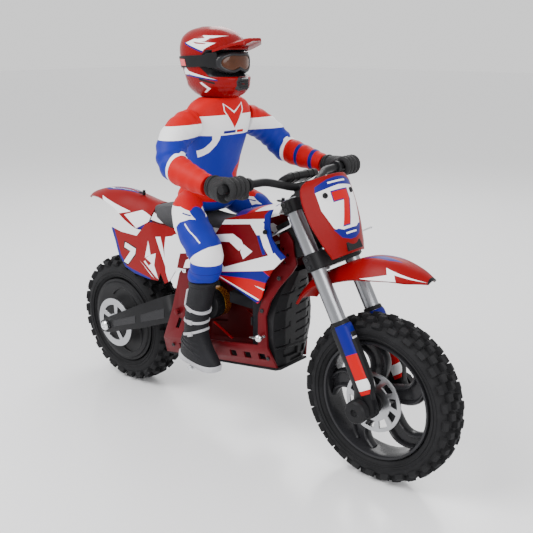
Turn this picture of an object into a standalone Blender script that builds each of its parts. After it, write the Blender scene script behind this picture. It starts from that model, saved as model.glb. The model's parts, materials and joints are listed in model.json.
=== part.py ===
"""Quarter-scale radio-controlled dirt bike with its rider figure.

All working coordinates are millimetres in the bike's own frame: X forward from
the rear axle, Y to the rider's left, Z up from the ground. The row frame has
the same directions with its origin under the middle of the bike's length.
Fork coordinates are (ahead, side, along): ahead of the steering axis, to the
left, and up along that axis from the point nearest the front axle.
"""
import math

import bmesh
import bpy
from mathutils import Matrix, Vector

MM = 0.001

# Driving dimensions, in millimetres and degrees.
WHEELBASE = 355.0
FRONT_RADIUS = 81.0
REAR_RADIUS = 77.0
FRONT_TYRE_WIDTH = 34.0
REAR_TYRE_WIDTH = 40.0
FRONT_RIM_RADIUS = 57.6
REAR_RIM_RADIUS = 50.7
RAKE = math.radians(29.3)
AXLE_AHEAD = 3.0
TUBE_AHEAD = 12.4
TUBE_SIDE = 27.0
TUBE_RADIUS = 7.2
PLATE_OUTER = 33.0
PLATE_THICKNESS = 2.4
PIVOT = (116.0, 119.0)
REAR_SPROCKET_RADIUS = 24.0
DRIVE_SPROCKET_RADIUS = 10.0
GEAR_MODULE = 1.6
SPUR_TEETH = 24
PINION_TEETH = 10
SHOCK_TOP = (132.0, 172.0)
SHOCK_BOTTOM = (92.0, 124.0)
SERVO_AHEAD = -46.0
LINK_SIDE = -23.0
GAP = 0.35
AXLE_RADIUS = 3.0

# The row frame's origin is under the middle of the overall length.
LENGTH = WHEELBASE + FRONT_RADIUS + REAR_RADIUS
REAR_AXLE_X = REAR_RADIUS - LENGTH / 2
FRONT_AXLE = Vector((WHEELBASE, 0.0, FRONT_RADIUS))
AHEAD = Vector((math.cos(RAKE), 0.0, math.sin(RAKE)))
STEERING_FOOT = FRONT_AXLE - AXLE_AHEAD * AHEAD

RED = (0.60, 0.02, 0.03)
DARK_RED = (0.36, 0.03, 0.03)
BLUE = (0.05, 0.08, 0.45)
WHITE = (0.85, 0.85, 0.85)
BLACK = (0.025, 0.025, 0.028)
GREY = (0.14, 0.14, 0.15)
STEEL = (0.62, 0.63, 0.65)
ORANGE = (0.75, 0.36, 0.04)

FRAMES = {}


def clear_scene():
    for thing in list(bpy.data.objects):
        bpy.data.objects.remove(thing, do_unlink=True)


def add_frame(name, origin, tilted=False):
    """An empty at a point in bike millimetres; tilted ones lean with the fork."""
    empty = bpy.data.objects.new(name, None)
    bpy.context.collection.objects.link(empty)
    origin = Vector(origin)
    empty.location = (REAR_AXLE_X * MM + origin.x * MM, origin.y * MM, origin.z * MM)
    turn = -RAKE if tilted else 0.0
    empty.rotation_euler = (0.0, turn, 0.0)
    matrix = Matrix.Translation(origin) @ Matrix.Rotation(turn, 4, "Y")
    FRAMES[name] = (empty, matrix)


def finish(name, bm, frame, colour, rough=0.45, metal=0.0, space="own"):
    """Turn a mesh in millimetres into a named object under its frame.

    space is "own" for the frame's own coordinates, "bike" for bike coordinates.
    """
    empty, matrix = FRAMES[frame]
    if space == "bike":
        bm.transform(matrix.inverted())
    bmesh.ops.recalc_face_normals(bm, faces=bm.faces)
    bm.transform(Matrix.Scale(MM, 4))
    mesh = bpy.data.meshes.new(name)
    bm.to_mesh(mesh)
    bm.free()
    mesh.shade_smooth()
    mesh.set_sharp_from_angle(angle=math.radians(35))
    thing = bpy.data.objects.new(name, mesh)
    bpy.context.collection.objects.link(thing)
    thing.parent = empty
    material = bpy.data.materials.new(name)
    material.use_nodes = True
    shader = material.node_tree.nodes["Principled BSDF"]
    shader.inputs["Base Color"].default_value = (*colour, 1.0)
    shader.inputs["Roughness"].default_value = rough
    shader.inputs["Metallic"].default_value = metal
    mesh.materials.append(material)
    return thing


# Shape builders. Each returns a bmesh in millimetres.

def loft(rings, bm=None):
    """Skin a row of rings with equal point counts and cap both ends."""
    bm = bm or bmesh.new()
    rows = [[bm.verts.new(p) for p in ring] for ring in rings]
    count = len(rows[0])
    for low, high in zip(rows, rows[1:]):
        for k in range(count):
            nxt = (k + 1) % count
            bm.faces.new((low[k], low[nxt], high[nxt], high[k]))
    bm.faces.new(list(reversed(rows[0])))
    bm.faces.new(rows[-1])
    return bm


def lathe(profile, segments=48):
    """Turn a closed outline of (radius, side) points about the Y axis."""
    bm = bmesh.new()
    rows = []
    for step in range(segments):
        turn = math.tau * step / segments
        row = [bm.verts.new((r * math.cos(turn), y, r * math.sin(turn))) for r, y in profile]
        rows.append(row)
    count = len(profile)
    for step in range(segments):
        here, there = rows[step], rows[(step + 1) % segments]
        for k in range(count):
            nxt = (k + 1) % count
            bm.faces.new((here[k], here[nxt], there[nxt], there[k]))
    return bm


def circle(centre, radius, count=20):
    """Points of a circle in a plane, as pairs."""
    points = []
    for k in range(count):
        turn = math.tau * k / count
        points.append((centre[0] + radius * math.cos(turn), centre[1] + radius * math.sin(turn)))
    return points


def prism(outline, holes, low, high, plane="xz", bends=(), shift=None):
    """Extrude a flat outline with holes along the plane's normal.

    plane "xz" extrudes along Y and plane "xy" along Z. bends are (point, normal)
    lines that get an edge, so that shift, which adds to the extruded direction
    at each point, can fold the sheet there.
    """
    bm = bmesh.new()
    lift = Vector((0, 1, 0)) if plane == "xz" else Vector((0, 0, 1))

    def spot(pair):
        if plane == "xz":
            return Vector((pair[0], 0.0, pair[1]))
        return Vector((pair[0], pair[1], 0.0))

    edges = []
    for loop in [outline, *holes]:
        verts = [bm.verts.new(spot(p)) for p in loop]
        for k, vert in enumerate(verts):
            edges.append(bm.edges.new((vert, verts[(k + 1) % len(verts)])))
    bmesh.ops.triangle_fill(bm, edges=edges, use_beauty=True)
    for point, normal in bends:
        geometry = bm.verts[:] + bm.edges[:] + bm.faces[:]
        bmesh.ops.bisect_plane(bm, geom=geometry, plane_co=spot(point), plane_no=spot(normal))
    result = bmesh.ops.extrude_face_region(bm, geom=bm.faces[:])
    raised = [g for g in result["geom"] if isinstance(g, bmesh.types.BMVert)]
    lifted = set(raised)
    for vert in bm.verts:
        vert.co += lift * (high if vert in lifted else low)
    if shift:
        for vert in bm.verts:
            vert.co += lift * shift(vert.co)
    return bm


def oval(centre, across, up, wide, tall, count=16, power=2.0):
    """A ring of points; power above 2 squares it off."""
    points = []
    for k in range(count):
        turn = math.tau * (k + 0.5) / count
        c, s = math.cos(turn), math.sin(turn)
        a = math.copysign(abs(c) ** (2 / power), c)
        b = math.copysign(abs(s) ** (2 / power), s)
        points.append(Vector(centre) + Vector(across) * wide * a + Vector(up) * tall * b)
    return points


def sweep(points, radii, sides=10, bm=None):
    """A round bar along points; radii is one number, or one per point."""
    points = [Vector(p) for p in points]
    if not isinstance(radii, (list, tuple)):
        radii = [radii] * len(points)
    rings = []
    normal = None
    for k, point in enumerate(points):
        before = points[max(k - 1, 0)]
        after = points[min(k + 1, len(points) - 1)]
        along = (after - before).normalized()
        if normal is None:
            seed = Vector((0, 0, 1)) if abs(along.z) < 0.8 else Vector((1, 0, 0))
            normal = along.cross(seed).normalized()
        normal = (normal - along * normal.dot(along)).normalized()
        other = along.cross(normal)
        size = radii[k]
        wide, tall = size if isinstance(size, tuple) else (size, size)
        rings.append(oval(point, normal, other, wide, tall, sides))
    return loft(rings, bm)


def smooth_path(knots, steps=3):
    """Extra points between knots on a Catmull-Rom curve."""
    knots = [Vector(k) for k in knots]
    padded = [2 * knots[0] - knots[1], *knots, 2 * knots[-1] - knots[-2]]
    points = []
    for i in range(1, len(padded) - 2):
        a, b, c, d = padded[i - 1:i + 3]
        for step in range(steps):
            t = step / steps
            points.append(0.5 * (2 * b + (c - a) * t + (2 * a - 5 * b + 4 * c - d) * t * t
                                 + (3 * b - a - 3 * c + d) * t ** 3))
    points.append(knots[-1])
    return points


def arched(stations, thickness, count=8, power=2.4):
    """A thin crowned channel along a path in the XZ plane.

    stations are (x, z, half width, side drop); the crown is on the path, and the
    sides fall away from it at right angles to the path.
    """
    rings = []
    for k, (x, z, wide, drop) in enumerate(stations):
        before = stations[max(k - 1, 0)]
        after = stations[min(k + 1, len(stations) - 1)]
        along = Vector((after[0] - before[0], 0.0, after[1] - before[1])).normalized()
        out = Vector((-along.z, 0.0, along.x))
        outer, inner = [], []
        for step in range(count + 1):
            s = -1 + 2 * step / count
            fall = drop * abs(s) ** power
            outer.append(Vector((x, wide * s, z)) - out * fall)
            inside = (wide - thickness) * s
            inner.append(Vector((x, inside, z)) - out * (fall + thickness))
        rings.append(outer + list(reversed(inner)))
    return loft(rings)


def cut(target, cutter_bm, frame, name):
    """Subtract a mesh in the frame's coordinates from an object."""
    cutter = finish(name, cutter_bm, frame, BLACK)
    cutter.hide_render = True
    cutter.display_type = "WIRE"
    boolean = target.modifiers.new("hole", "BOOLEAN")
    boolean.operation = "DIFFERENCE"
    boolean.solver = "EXACT"
    boolean.object = cutter


def join(target, other_bm, frame, name):
    """Fuse a mesh in the frame's coordinates onto an object."""
    other = finish(name, other_bm, frame, BLACK)
    other.hide_render = True
    other.display_type = "WIRE"
    boolean = target.modifiers.new("join", "BOOLEAN")
    boolean.operation = "UNION"
    boolean.solver = "EXACT"
    boolean.object = other


def rod_y(centre, radius, low, high, sides=20):
    """A round bar along Y through a point (x, z)."""
    return prism(circle(centre, radius, sides), [], low, high)


def ramp(value, low, high):
    return min(max((value - low) / (high - low), 0.0), 1.0)


# Wheels.

def tyre_profile(radius, width, bead):
    """Closed tyre section: rounded tread outside, open bead inside."""
    half = width / 2
    points = []
    steps = 10
    for k in range(steps + 1):
        turn = math.pi * k / steps
        crown = math.sin(turn) ** 0.75 if 0 < k < steps else 0.0
        points.append((bead + 7 + (radius - bead - 7) * crown, -half * math.cos(turn)))
    points.append((bead, half * 0.72))
    points.append((bead, -half * 0.72))
    return points


def front_wheel():
    bm = lathe(tyre_profile(FRONT_RADIUS, FRONT_TYRE_WIDTH, FRONT_RIM_RADIUS + GAP))
    finish("front_tyre", bm, "front_wheel_axis", BLACK, 0.8)
    windows = []
    spokes = 5
    for k in range(spokes):
        base = math.tau * k / spokes + 0.2
        window = []
        for step in range(9):
            turn = base + 0.15 + (math.tau / spokes - 0.30) * step / 8
            window.append((51.5 * math.cos(turn), 51.5 * math.sin(turn)))
        for step in range(3):
            turn = base + 0.55 + (math.tau / spokes - 0.75) * (2 - step) / 2 - 0.32
            window.append((15.5 * math.cos(turn), 15.5 * math.sin(turn)))
        windows.append(window)
    bore = circle((0, 0), AXLE_RADIUS + GAP, 16)
    bm = prism(circle((0, 0), FRONT_RIM_RADIUS, 60), [bore, *windows], -6.0, 6.0)
    finish("front_rim", bm, "front_wheel_axis", BLACK, 0.4)
    inner = AXLE_RADIUS + GAP
    bm = lathe([(inner, -14.2), (29.4, -14.2), (29.4, -12.4), (9.0, -12.4), (9.0, -6.5),
                (inner, -6.5)], 40)
    finish("front_disc", bm, "front_wheel_axis", STEEL, 0.3, 1.0)


def rear_wheel():
    bm = lathe(tyre_profile(REAR_RADIUS, REAR_TYRE_WIDTH, REAR_RIM_RADIUS + GAP))
    finish("rear_tyre", bm, "rear_wheel_axis", BLACK, 0.8)
    inner = AXLE_RADIUS + GAP
    edge = REAR_RIM_RADIUS
    bm = lathe([(inner, -25.0), (9.0, -25.0), (9.0, -17.0), (edge, -17.0), (edge, 17.0),
                (46.0, 17.0), (46.0, -13.0), (9.0, -13.0), (9.0, -11.0), (inner, -11.0)], 40)
    finish("rear_rim", bm, "rear_wheel_axis", BLACK, 0.45)
    bm = lathe([(inner, -10.0), (9.0, -10.0), (9.0, 0.0), (34.0, 0.0), (34.0, -10.5),
                (43.5, -10.5), (43.5, 14.0), (34.0, 14.0), (34.0, 6.0), (9.0, 6.0),
                (9.0, 16.0), (inner, 16.0)], 36)
    finish("gyro_flywheel", bm, "rear_wheel_axis", STEEL, 0.35, 1.0)
    bm = lathe([(inner, -29.0), (29.5, -29.0), (29.5, -27.2), (11.0, -27.2), (11.0, -25.5),
                (inner, -25.5)], 40)
    finish("rear_disc", bm, "rear_wheel_axis", STEEL, 0.3, 1.0)
    bm = lathe([(inner, 17.4), (11.0, 17.4), (11.0, 23.2), (REAR_SPROCKET_RADIUS, 23.2),
                (REAR_SPROCKET_RADIUS, 25.2), (inner, 25.2)], 40)
    finish("rear_sprocket", bm, "rear_wheel_axis", STEEL, 0.35, 1.0)


def chain_loop(offset):
    """The belt line round both sprockets, offset outward from their radii."""
    start = Vector((0.0, REAR_RADIUS))
    end = Vector(PIVOT)
    line = end - start
    heading = math.atan2(line.y, line.x)
    big = REAR_SPROCKET_RADIUS + offset
    small = DRIVE_SPROCKET_RADIUS + offset
    open_angle = math.acos((big - small) / line.length)
    points = []
    for k in range(17):
        turn = heading + open_angle + (math.tau - 2 * open_angle) * k / 16
        points.append((start.x + big * math.cos(turn), start.y + big * math.sin(turn)))
    for k in range(9):
        turn = heading - open_angle + 2 * open_angle * k / 8
        points.append((end.x + small * math.cos(turn), end.y + small * math.sin(turn)))
    return points


def gear_outline(teeth, phase):
    """Low trapezoid teeth with working backlash."""
    pitch_radius = GEAR_MODULE * teeth / 2
    tip = pitch_radius + 0.6 * GEAR_MODULE
    root = pitch_radius - 0.9 * GEAR_MODULE
    step = math.tau / teeth
    points = []
    for k in range(teeth):
        middle = phase + k * step
        for side, radius in ((-0.22, root), (-0.09, tip), (0.09, tip), (0.22, root)):
            turn = middle + side * step
            points.append((radius * math.cos(turn), radius * math.sin(turn)))
    return points


def motor_centre():
    """The motor's axis, one gear centre distance ahead of the swingarm pivot."""
    distance = GEAR_MODULE * (SPUR_TEETH + PINION_TEETH) / 2
    heading = math.radians(18)
    return (PIVOT[0] + distance * math.cos(heading), PIVOT[1] + distance * math.sin(heading))


def drive():
    bm = prism(chain_loop(3.4), [chain_loop(0.5)], 22.2, 26.2)
    finish("chain", bm, "swingarm_axis", GREY, 0.4, 0.9, space="bike")
    heading = math.radians(18)
    bore = circle((0, 0), AXLE_RADIUS + GAP, 16)
    bm = prism(gear_outline(SPUR_TEETH, heading), [bore], 8.0, 13.0)
    gear = finish("countershaft", bm, "countershaft_axis", STEEL, 0.4, 1.0)
    hub = lathe([(AXLE_RADIUS + GAP, 12.0), (6.5, 12.0), (6.5, 23.2), (DRIVE_SPROCKET_RADIUS, 23.2),
                 (DRIVE_SPROCKET_RADIUS, 25.2), (AXLE_RADIUS + GAP, 25.2)], 24)
    join(gear, hub, "countershaft_axis", "countershaft_hub_shape")
    bm = prism(gear_outline(PINION_TEETH, heading + math.pi + math.pi / PINION_TEETH), [], 8.0, 13.0)
    finish("motor_pinion", bm, "motor_axis", STEEL, 0.4, 1.0)
    profile = [(2.0, -18.0), (9.0, -18.0), (9.0, -14.0), (16.0, -14.0), (16.0, 7.4), (2.0, 7.4)]
    finish("motor", lathe(profile, 28), "motor_axis", ORANGE, 0.35, 0.8)


# Rear suspension.

def arm_height(x):
    """Half the swingarm rail's height along its length."""
    return 9.5 + 2.6 * ramp(x, 0, 50) - 0.6 * ramp(x, 70, 116)


def arm_middle(x):
    return REAR_RADIUS + (PIVOT[1] - REAR_RADIUS) * x / PIVOT[0]


def swingarm():
    """A forged U: two rails and a bridge, each point with its own top and bottom."""
    half = [(-12, 40.5), (0, 40.5), (60, 36.8), (86, 30.2), (118, 30.2), (125, 30.2), (125, 27.0),
            (93, 27.0), (93, 26.6)]
    back = [(86, 26.6), (86, 27.0), (60, 29.6), (0, 33.6), (-12, 33.6)]
    outline = [(x, -y) for x, y in half] + [(x, y) for x, y in reversed(half)]
    outline += [(x, y) for x, y in reversed(back)] + [(x, -y) for x, y in back]
    bm = prism(outline, [], 0.0, 1.0, plane="xy")
    for vert in bm.verts:
        x, y = vert.co.x, vert.co.y
        half_height = 6.0 if abs(y) < 26.8 else arm_height(x)
        if x < -6 or x > 120:
            half_height -= 3.5
        middle = arm_middle(x)
        crown = 8.0 * ramp(x, 15, 90) if abs(y) > 26.8 and x < 119 else 0.0
        vert.co.z = middle + half_height + crown if vert.co.z > 0.5 else middle - half_height
    arm = finish("swingarm", bm, "swingarm_axis", BLACK, 0.55, space="bike")
    cut(arm, rod_y((0, 0), AXLE_RADIUS + GAP, -60, 60), "rear_wheel_axis", "axle_hole")
    cut(arm, rod_y((0, 0), AXLE_RADIUS + GAP, -60, 60), "swingarm_axis", "pivot_hole")
    axle = prism(circle((0, 0), AXLE_RADIUS, 20), [], -43, 43)
    axle = finish("rear_axle", axle, "rear_wheel_axis", STEEL, 0.3, 1.0)
    for side in (-1, 1):
        low, high = sorted((side * 41.0, side * 46.0))
        join(axle, rod_y((0, 0), 5.2, low, high, 12), "rear_wheel_axis", "axle_head_shape")
    bolt = finish("swingarm_bolt", rod_y((0, 0), AXLE_RADIUS, -36.5, 36.5), "swingarm_axis", STEEL,
                  0.3, 1.0)
    bolt.parent = FRAMES["countershaft_axis"][0]


def shock():
    """Unit in its own frame: Z from the top eye down to the bottom eye."""
    length = math.dist(SHOCK_TOP, SHOCK_BOTTOM)
    body = loft([oval((0, 0, z), (1, 0, 0), (0, 1, 0), r, r, 16) for z, r in
                 ((4, 3.5), (2, 4.6), (-7, 4.6), (-8, 7.8), (-10.5, 7.8), (-11, 5.2), (-36, 5.2),
                  (-36, 2.6), (-14, 2.6))])
    finish("shock_body", body, "shock_axis", STEEL, 0.35, 0.9)
    rod = loft([oval((0, 0, z), (1, 0, 0), (0, 1, 0), r, r, 16) for z, r in
                ((-length - 3, 3.0), (-length + 1, 4.2), (-length + 6, 4.2), (-length + 6.5, 7.8),
                 (-length + 9, 7.8), (-length + 9.2, 2.0), (-22, 2.0))])
    finish("shock_rod", rod, "shock_axis", STEEL, 0.25, 1.0)
    turns, start, stop = 6, -11.9, -length + 10.0
    steps = turns * 12
    coil = []
    for k in range(steps + 1):
        turn = math.tau * k / 12
        coil.append((6.7 * math.cos(turn), 6.7 * math.sin(turn), start + (stop - start) * k / steps))
    finish("shock_spring", sweep(coil, 0.85, 6), "shock_axis", RED, 0.4)


# Chassis.

def plate_inset(point):
    """How far the side plate folds inward: at its lower flange and at the head."""
    x, z = point.x, point.z
    fold = 83.8 + (x - 94.3) * 0.181
    flange = 0.36 * max(fold - z, 0.0)
    head = 14.6 * ramp(z, 160, 194) * ramp(x, 208, 236)
    return flange + head


def chassis_plates():
    outline = [(88, 63), (248, 87), (243, 110), (241, 142), (246, 157), (253, 173), (263, 188),
               (267, 197), (264, 206), (262, 219), (255, 227), (246, 222), (247, 205), (243, 197),
               (206, 186), (160, 178), (131, 176), (120, 163), (106, 118), (91, 83)]
    window = [(133, 92.5), (231, 110), (231, 142), (236, 158), (240, 172), (205, 171), (163, 165),
              (153, 160)]
    slots = []
    for x in (117.5, 193.5, 213, 232.5):
        middle = 77.7 + (x - 117.5) * 0.165
        slots.append([(x - 4.6, middle - 4.4), (x + 4.6, middle - 2.9), (x + 4.6, middle + 4.4),
                      (x - 4.6, middle + 2.9)])
    slot = [(111, 99), (116, 99), (122, 112), (117, 112)]
    holes = [window, slot, *slots, circle(PIVOT, AXLE_RADIUS + GAP, 16)]
    holes += [circle(spot, 1.9, 8) for spot in ((252, 196), (256, 204), (250, 209))]
    bends = [((94.3, 83.8), (-0.181, 1.0)), ((0, 160), (0, 1)), ((0, 177), (0, 1)), ((0, 194), (0, 1)),
             ((208, 0), (1, 0)), ((222, 0), (1, 0)), ((236, 0), (1, 0))]
    for name, side in (("chassis_plate_right", -1), ("chassis_plate_left", 1)):
        outer, inner = side * PLATE_OUTER, side * (PLATE_OUTER - PLATE_THICKNESS)
        bm = prism(outline, holes, inner, outer, bends=bends,
                   shift=lambda p, s=side: -s * plate_inset(p))
        finish(name, bm, "bike", DARK_RED, 0.35, 0.6)
    skid = []
    for x, z, wide in ((87, 59.6, 22.0), (92, 60.2, 23.4), (246, 83.3, 23.4), (251, 85.0, 21.0)):
        skid.append([Vector((x, -wide, z)), Vector((x, wide, z)), Vector((x, wide - 1, z + 2.4)),
                     Vector((x, -wide + 1, z + 2.4))])
    finish("skid_plate", loft(skid), "bike", BLACK, 0.6)


def front_cover():
    """Grooved battery cover between the plates, up to the steering head."""
    rings = []
    for z, front, depth, wide in ((87.5, 250, 9, 22), (100, 251, 10, 25), (120, 252, 12, 29.6),
                                  (139, 252.5, 14, 29.8), (152, 253, 13, 27), (166, 255, 10, 22),
                                  (180, 259, 9, 15), (187, 261.5, 7, 12)):
        side = front - 4
        ring = [Vector((front, -wide * 0.55, z)), Vector((front, wide * 0.55, z)),
                Vector((side, wide, z)), Vector((side - depth, wide, z)),
                Vector((side - depth, -wide, z)), Vector((side, -wide, z))]
        rings.append(ring)
    finish("front_cover", loft(rings), "bike", BLACK, 0.55)


def electronics():
    def box(name, low, high, colour, metal=0.0):
        ring = [(low[0], low[1]), (high[0], low[1]), (high[0], high[1]), (low[0], high[1])]
        bm = prism(ring, [], low[2], high[2], plane="xy")
        finish(name, bm, "bike", colour, 0.5, metal)

    box("battery_pack", (214.5, -22, 92), (233.8, 22, 158), BLACK)
    box("speed_controller", (176, -15, 138), (210, 15, 150), BLACK)
    ring = [(-12, -10), (26, -10), (26, 10), (-12, 10)]
    case = [(SERVO_AHEAD - x + 8, y) for x, y in ring]
    finish("steering_servo", prism(case, [], 152.0, 170.0, plane="xy"), "steering_axis", BLACK, 0.5)
    horn = [(4 * math.cos(t), 4 * math.sin(t)) for t in [math.pi * k / 8 for k in range(9)]]
    horn += [(-2.6, LINK_SIDE), (0, LINK_SIDE - 2.6), (2.6, LINK_SIDE)]
    finish("servo_horn", prism(horn, [], 171.0, 174.0, plane="xy"), "servo_axis", WHITE, 0.5)
    link = [(SERVO_AHEAD, LINK_SIDE, 175.4), (SERVO_AHEAD, LINK_SIDE, 177.4),
            (SERVO_AHEAD + 1.5, LINK_SIDE, 179), (-1.5, LINK_SIDE, 179), (0, LINK_SIDE, 180.6),
            (0, LINK_SIDE, 187.4)]
    finish("drag_link", sweep(link, 1.4, 8), "steering_axis", STEEL, 0.3, 1.0)


def headstock():
    nose = [(9.2 * math.cos(t), 9.2 * math.sin(t)) for t in
            [-math.pi / 2 + math.pi * k / 10 for k in range(11)]]
    outline = nose + [(-12, 15.2), (-26, 15.2), (-26, -15.2), (-12, -15.2)]
    bm = prism(outline, [circle((0, 0), 4.6, 16)], 150.0, 186.0, plane="xy")
    finish("headstock", bm, "steering_axis", BLACK, 0.45)


# Fork.

def clamp_outline():
    """Plan of a fork clamp: a boss round each tube, joined by a web."""
    points = []
    for k in range(13):
        turn = -math.pi * 0.5 + math.pi * k / 12
        points.append((TUBE_AHEAD + 9.6 * math.cos(turn - math.pi / 2),
                       -TUBE_SIDE + 9.6 * math.sin(turn - math.pi / 2)))
    right = [(TUBE_AHEAD - 9.6, -TUBE_SIDE + 3)] + [
        (TUBE_AHEAD + 9.8 * math.cos(t), -TUBE_SIDE + 9.8 * math.sin(t))
        for t in [math.pi * (1.0 + k / 8) for k in range(9)]]
    right += [(TUBE_AHEAD + 9.8, -TUBE_SIDE + 3), (20.0, -14.0)]
    start = [(-8.6, 0.0), (-7.4, -8.0), (0.0, -16.0)]
    half = start + right
    return half + [(x, -y) for x, y in reversed(half) if y != 0.0]


def clamps():
    tubes = [circle((TUBE_AHEAD, s * TUBE_SIDE), TUBE_RADIUS + GAP, 20) for s in (-1, 1)]
    stem = circle((0, 0), 4.4, 16)
    bm = prism(clamp_outline(), [*tubes, stem], 131.0, 147.0, plane="xy")
    finish("lower_clamp", bm, "steering_axis", BLACK, 0.45)
    bm = prism(clamp_outline(), [*tubes, stem], 188.0, 200.0, plane="xy")
    finish("upper_clamp", bm, "steering_axis", BLACK, 0.45)
    bm = prism(circle((0, 0), 4.0, 16), [], 129.0, 202.5, plane="xy")
    finish("steering_stem", bm, "steering_axis", STEEL, 0.3, 1.0)
    for name, side in (("fork_tube_right", -1), ("fork_tube_left", 1)):
        outline = circle((TUBE_AHEAD, side * TUBE_SIDE), TUBE_RADIUS, 20)
        bm = prism(outline, [], 44.0, 201.0, plane="xy")
        finish(name, bm, "steering_axis", STEEL, 0.25, 1.0)


def fork_legs():
    """Lower legs: sliders with a moulded front guard, bored for the tubes."""
    for name, side in (("fork_leg_right", -1), ("fork_leg_left", 1)):
        rings = []
        for along, ahead, deep, wide in ((-11, 4, 7, 6), (-9, 4.5, 9.5, 7.5), (8, 6.5, 10.5, 8.2),
                                         (18, 11.6, 10.0, 8.4), (70, TUBE_AHEAD, 10.2, 8.6),
                                         (77, TUBE_AHEAD, 9.4, 8.6)):
            centre = (ahead, side * TUBE_SIDE, along)
            rings.append(oval(centre, (1, 0, 0), (0, 1, 0), deep, wide, 20, 2.4))
        for along in (77, 21):
            centre = (TUBE_AHEAD, side * TUBE_SIDE, along)
            rings.append(oval(centre, (1, 0, 0), (0, 1, 0), TUBE_RADIUS + 0.3, TUBE_RADIUS + 0.3, 20))
        leg = finish(name, loft(rings), "fork_travel_axis", RED, 0.4)
        cut(leg, rod_y((0, 0), AXLE_RADIUS + GAP, -60, 60), "front_wheel_axis", "front_axle_hole")
    axle = finish("front_axle", rod_y((0, 0), AXLE_RADIUS, -40, 40), "front_wheel_axis", STEEL, 0.3, 1.0)
    for side in (-1, 1):
        low, high = sorted((side * 36.2, side * 45.0))
        join(axle, rod_y((0, 0), 11.2, low, high, 16), "front_wheel_axis", "axle_knob_shape")


def number_plate():
    rings = []
    for along, centre, wide in ((134, 40, 25.5), (142, 42, 29), (156, 45, 34), (172, 47, 38.5),
                                (190, 49, 39.5), (202, 50.5, 37), (207, 51, 30)):
        outer, inner = [], []
        for k in range(9):
            s = -1 + k / 4
            bow = 13.5 * (wide / 39) * abs(s) ** 2.0
            outer.append(Vector((centre - bow, wide * s, along)))
            inner.append(Vector((centre - bow - 2.0, (wide - 1.0) * s, along)))
        rings.append(outer + list(reversed(inner)))
    finish("number_plate", loft(rings), "steering_axis", RED, 0.35)


def front_fender():
    stations = [(261, 159, 17.0, 5), (268, 172, 17.6, 7), (281, 186, 18.0, 9), (298, 195.5, 18.2, 11),
                (312, 203, 18.6, 13), (330, 211.5, 22.5, 15.5), (347, 216.5, 24, 17),
                (368, 216.8, 22.5, 15), (388, 211.5, 17, 10), (402, 205, 7, 3)]
    bm = arched(stations, 1.8)
    finish("front_fender", bm, "steering_axis", RED, 0.35, space="bike")


def bar_point(side, station):
    """Handlebar centre line, from the middle out to the grip end."""
    knots = ((262.5, 0, 270), (261, 16, 270), (257, 30, 273.5), (251.5, 44, 277), (249.6, 60, 277.5),
             (249.2, 80, 277.5), (249.0, 101, 277.5))
    x, y, z = knots[station]
    return (x, side * y, z)


def handlebar():
    knots = [bar_point(-1, k) for k in range(6, -1, -1)] + [bar_point(1, k) for k in range(1, 7)]
    bm = sweep(smooth_path(knots, 2), 3.7, 10)
    finish("handlebar", bm, "steering_axis", BLACK, 0.5, space="bike")
    block = [(5, -15), (23, -15), (23, 15), (5, 15)]
    bm = prism(block, [], 200.6, 205.6, plane="xy")
    finish("bar_clamp", bm, "steering_axis", BLACK, 0.5)
    rings = []
    for y, size in ((-23, 2.6), (-20, 3.9), (0, 4.3), (20, 3.9), (23, 2.6)):
        rings.append(oval((TUBE_AHEAD - 2, y, 220.4), (1, 0, 0), (0, 0, 1), size + 4, size, 12, 3.0))
    finish("bar_pad", loft(rings), "steering_axis", BLACK, 0.7)


# Body shell.

def panel_side(point):
    """How far the side panel stands from the middle of the bike."""
    rear = 7.0 * (1 - ramp(point.x, 3, 95))
    top = 7.5 * ramp(point.z, 182, 248)
    return 35.6 - max(rear, top * ramp(point.x, 60, 110))


def side_panels():
    outline = [(3, 194), (8, 182), (15, 164), (27, 151.5), (45, 147.5), (70, 146.5), (87, 148),
               (92, 158), (99, 147), (107, 152), (116, 164), (146, 176), (178, 171), (206, 163.5),
               (222, 158), (233, 154.5), (238, 162), (243, 178), (252, 193), (265, 206.5), (256, 212),
               (247, 221), (243.5, 232), (243, 241), (246, 248.5), (222, 243), (186, 231), (172, 212),
               (150, 204), (103, 211), (78, 212), (69, 209), (51, 192), (20, 191.5)]
    bends = [((x, 0), (1, 0)) for x in (30, 60, 95, 135, 175, 210)]
    bends += [((0, z), (0, 1)) for z in (182, 204, 226)]
    for name, side in (("side_panel_right", -1), ("side_panel_left", 1)):
        low, high = sorted((0.0, side * 1.6))
        bm = prism(outline, [], low, high, bends=bends,
                   shift=lambda p, s=side: s * (panel_side(p) - 1.6))
        finish(name, bm, "bike", RED, 0.35)


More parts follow.
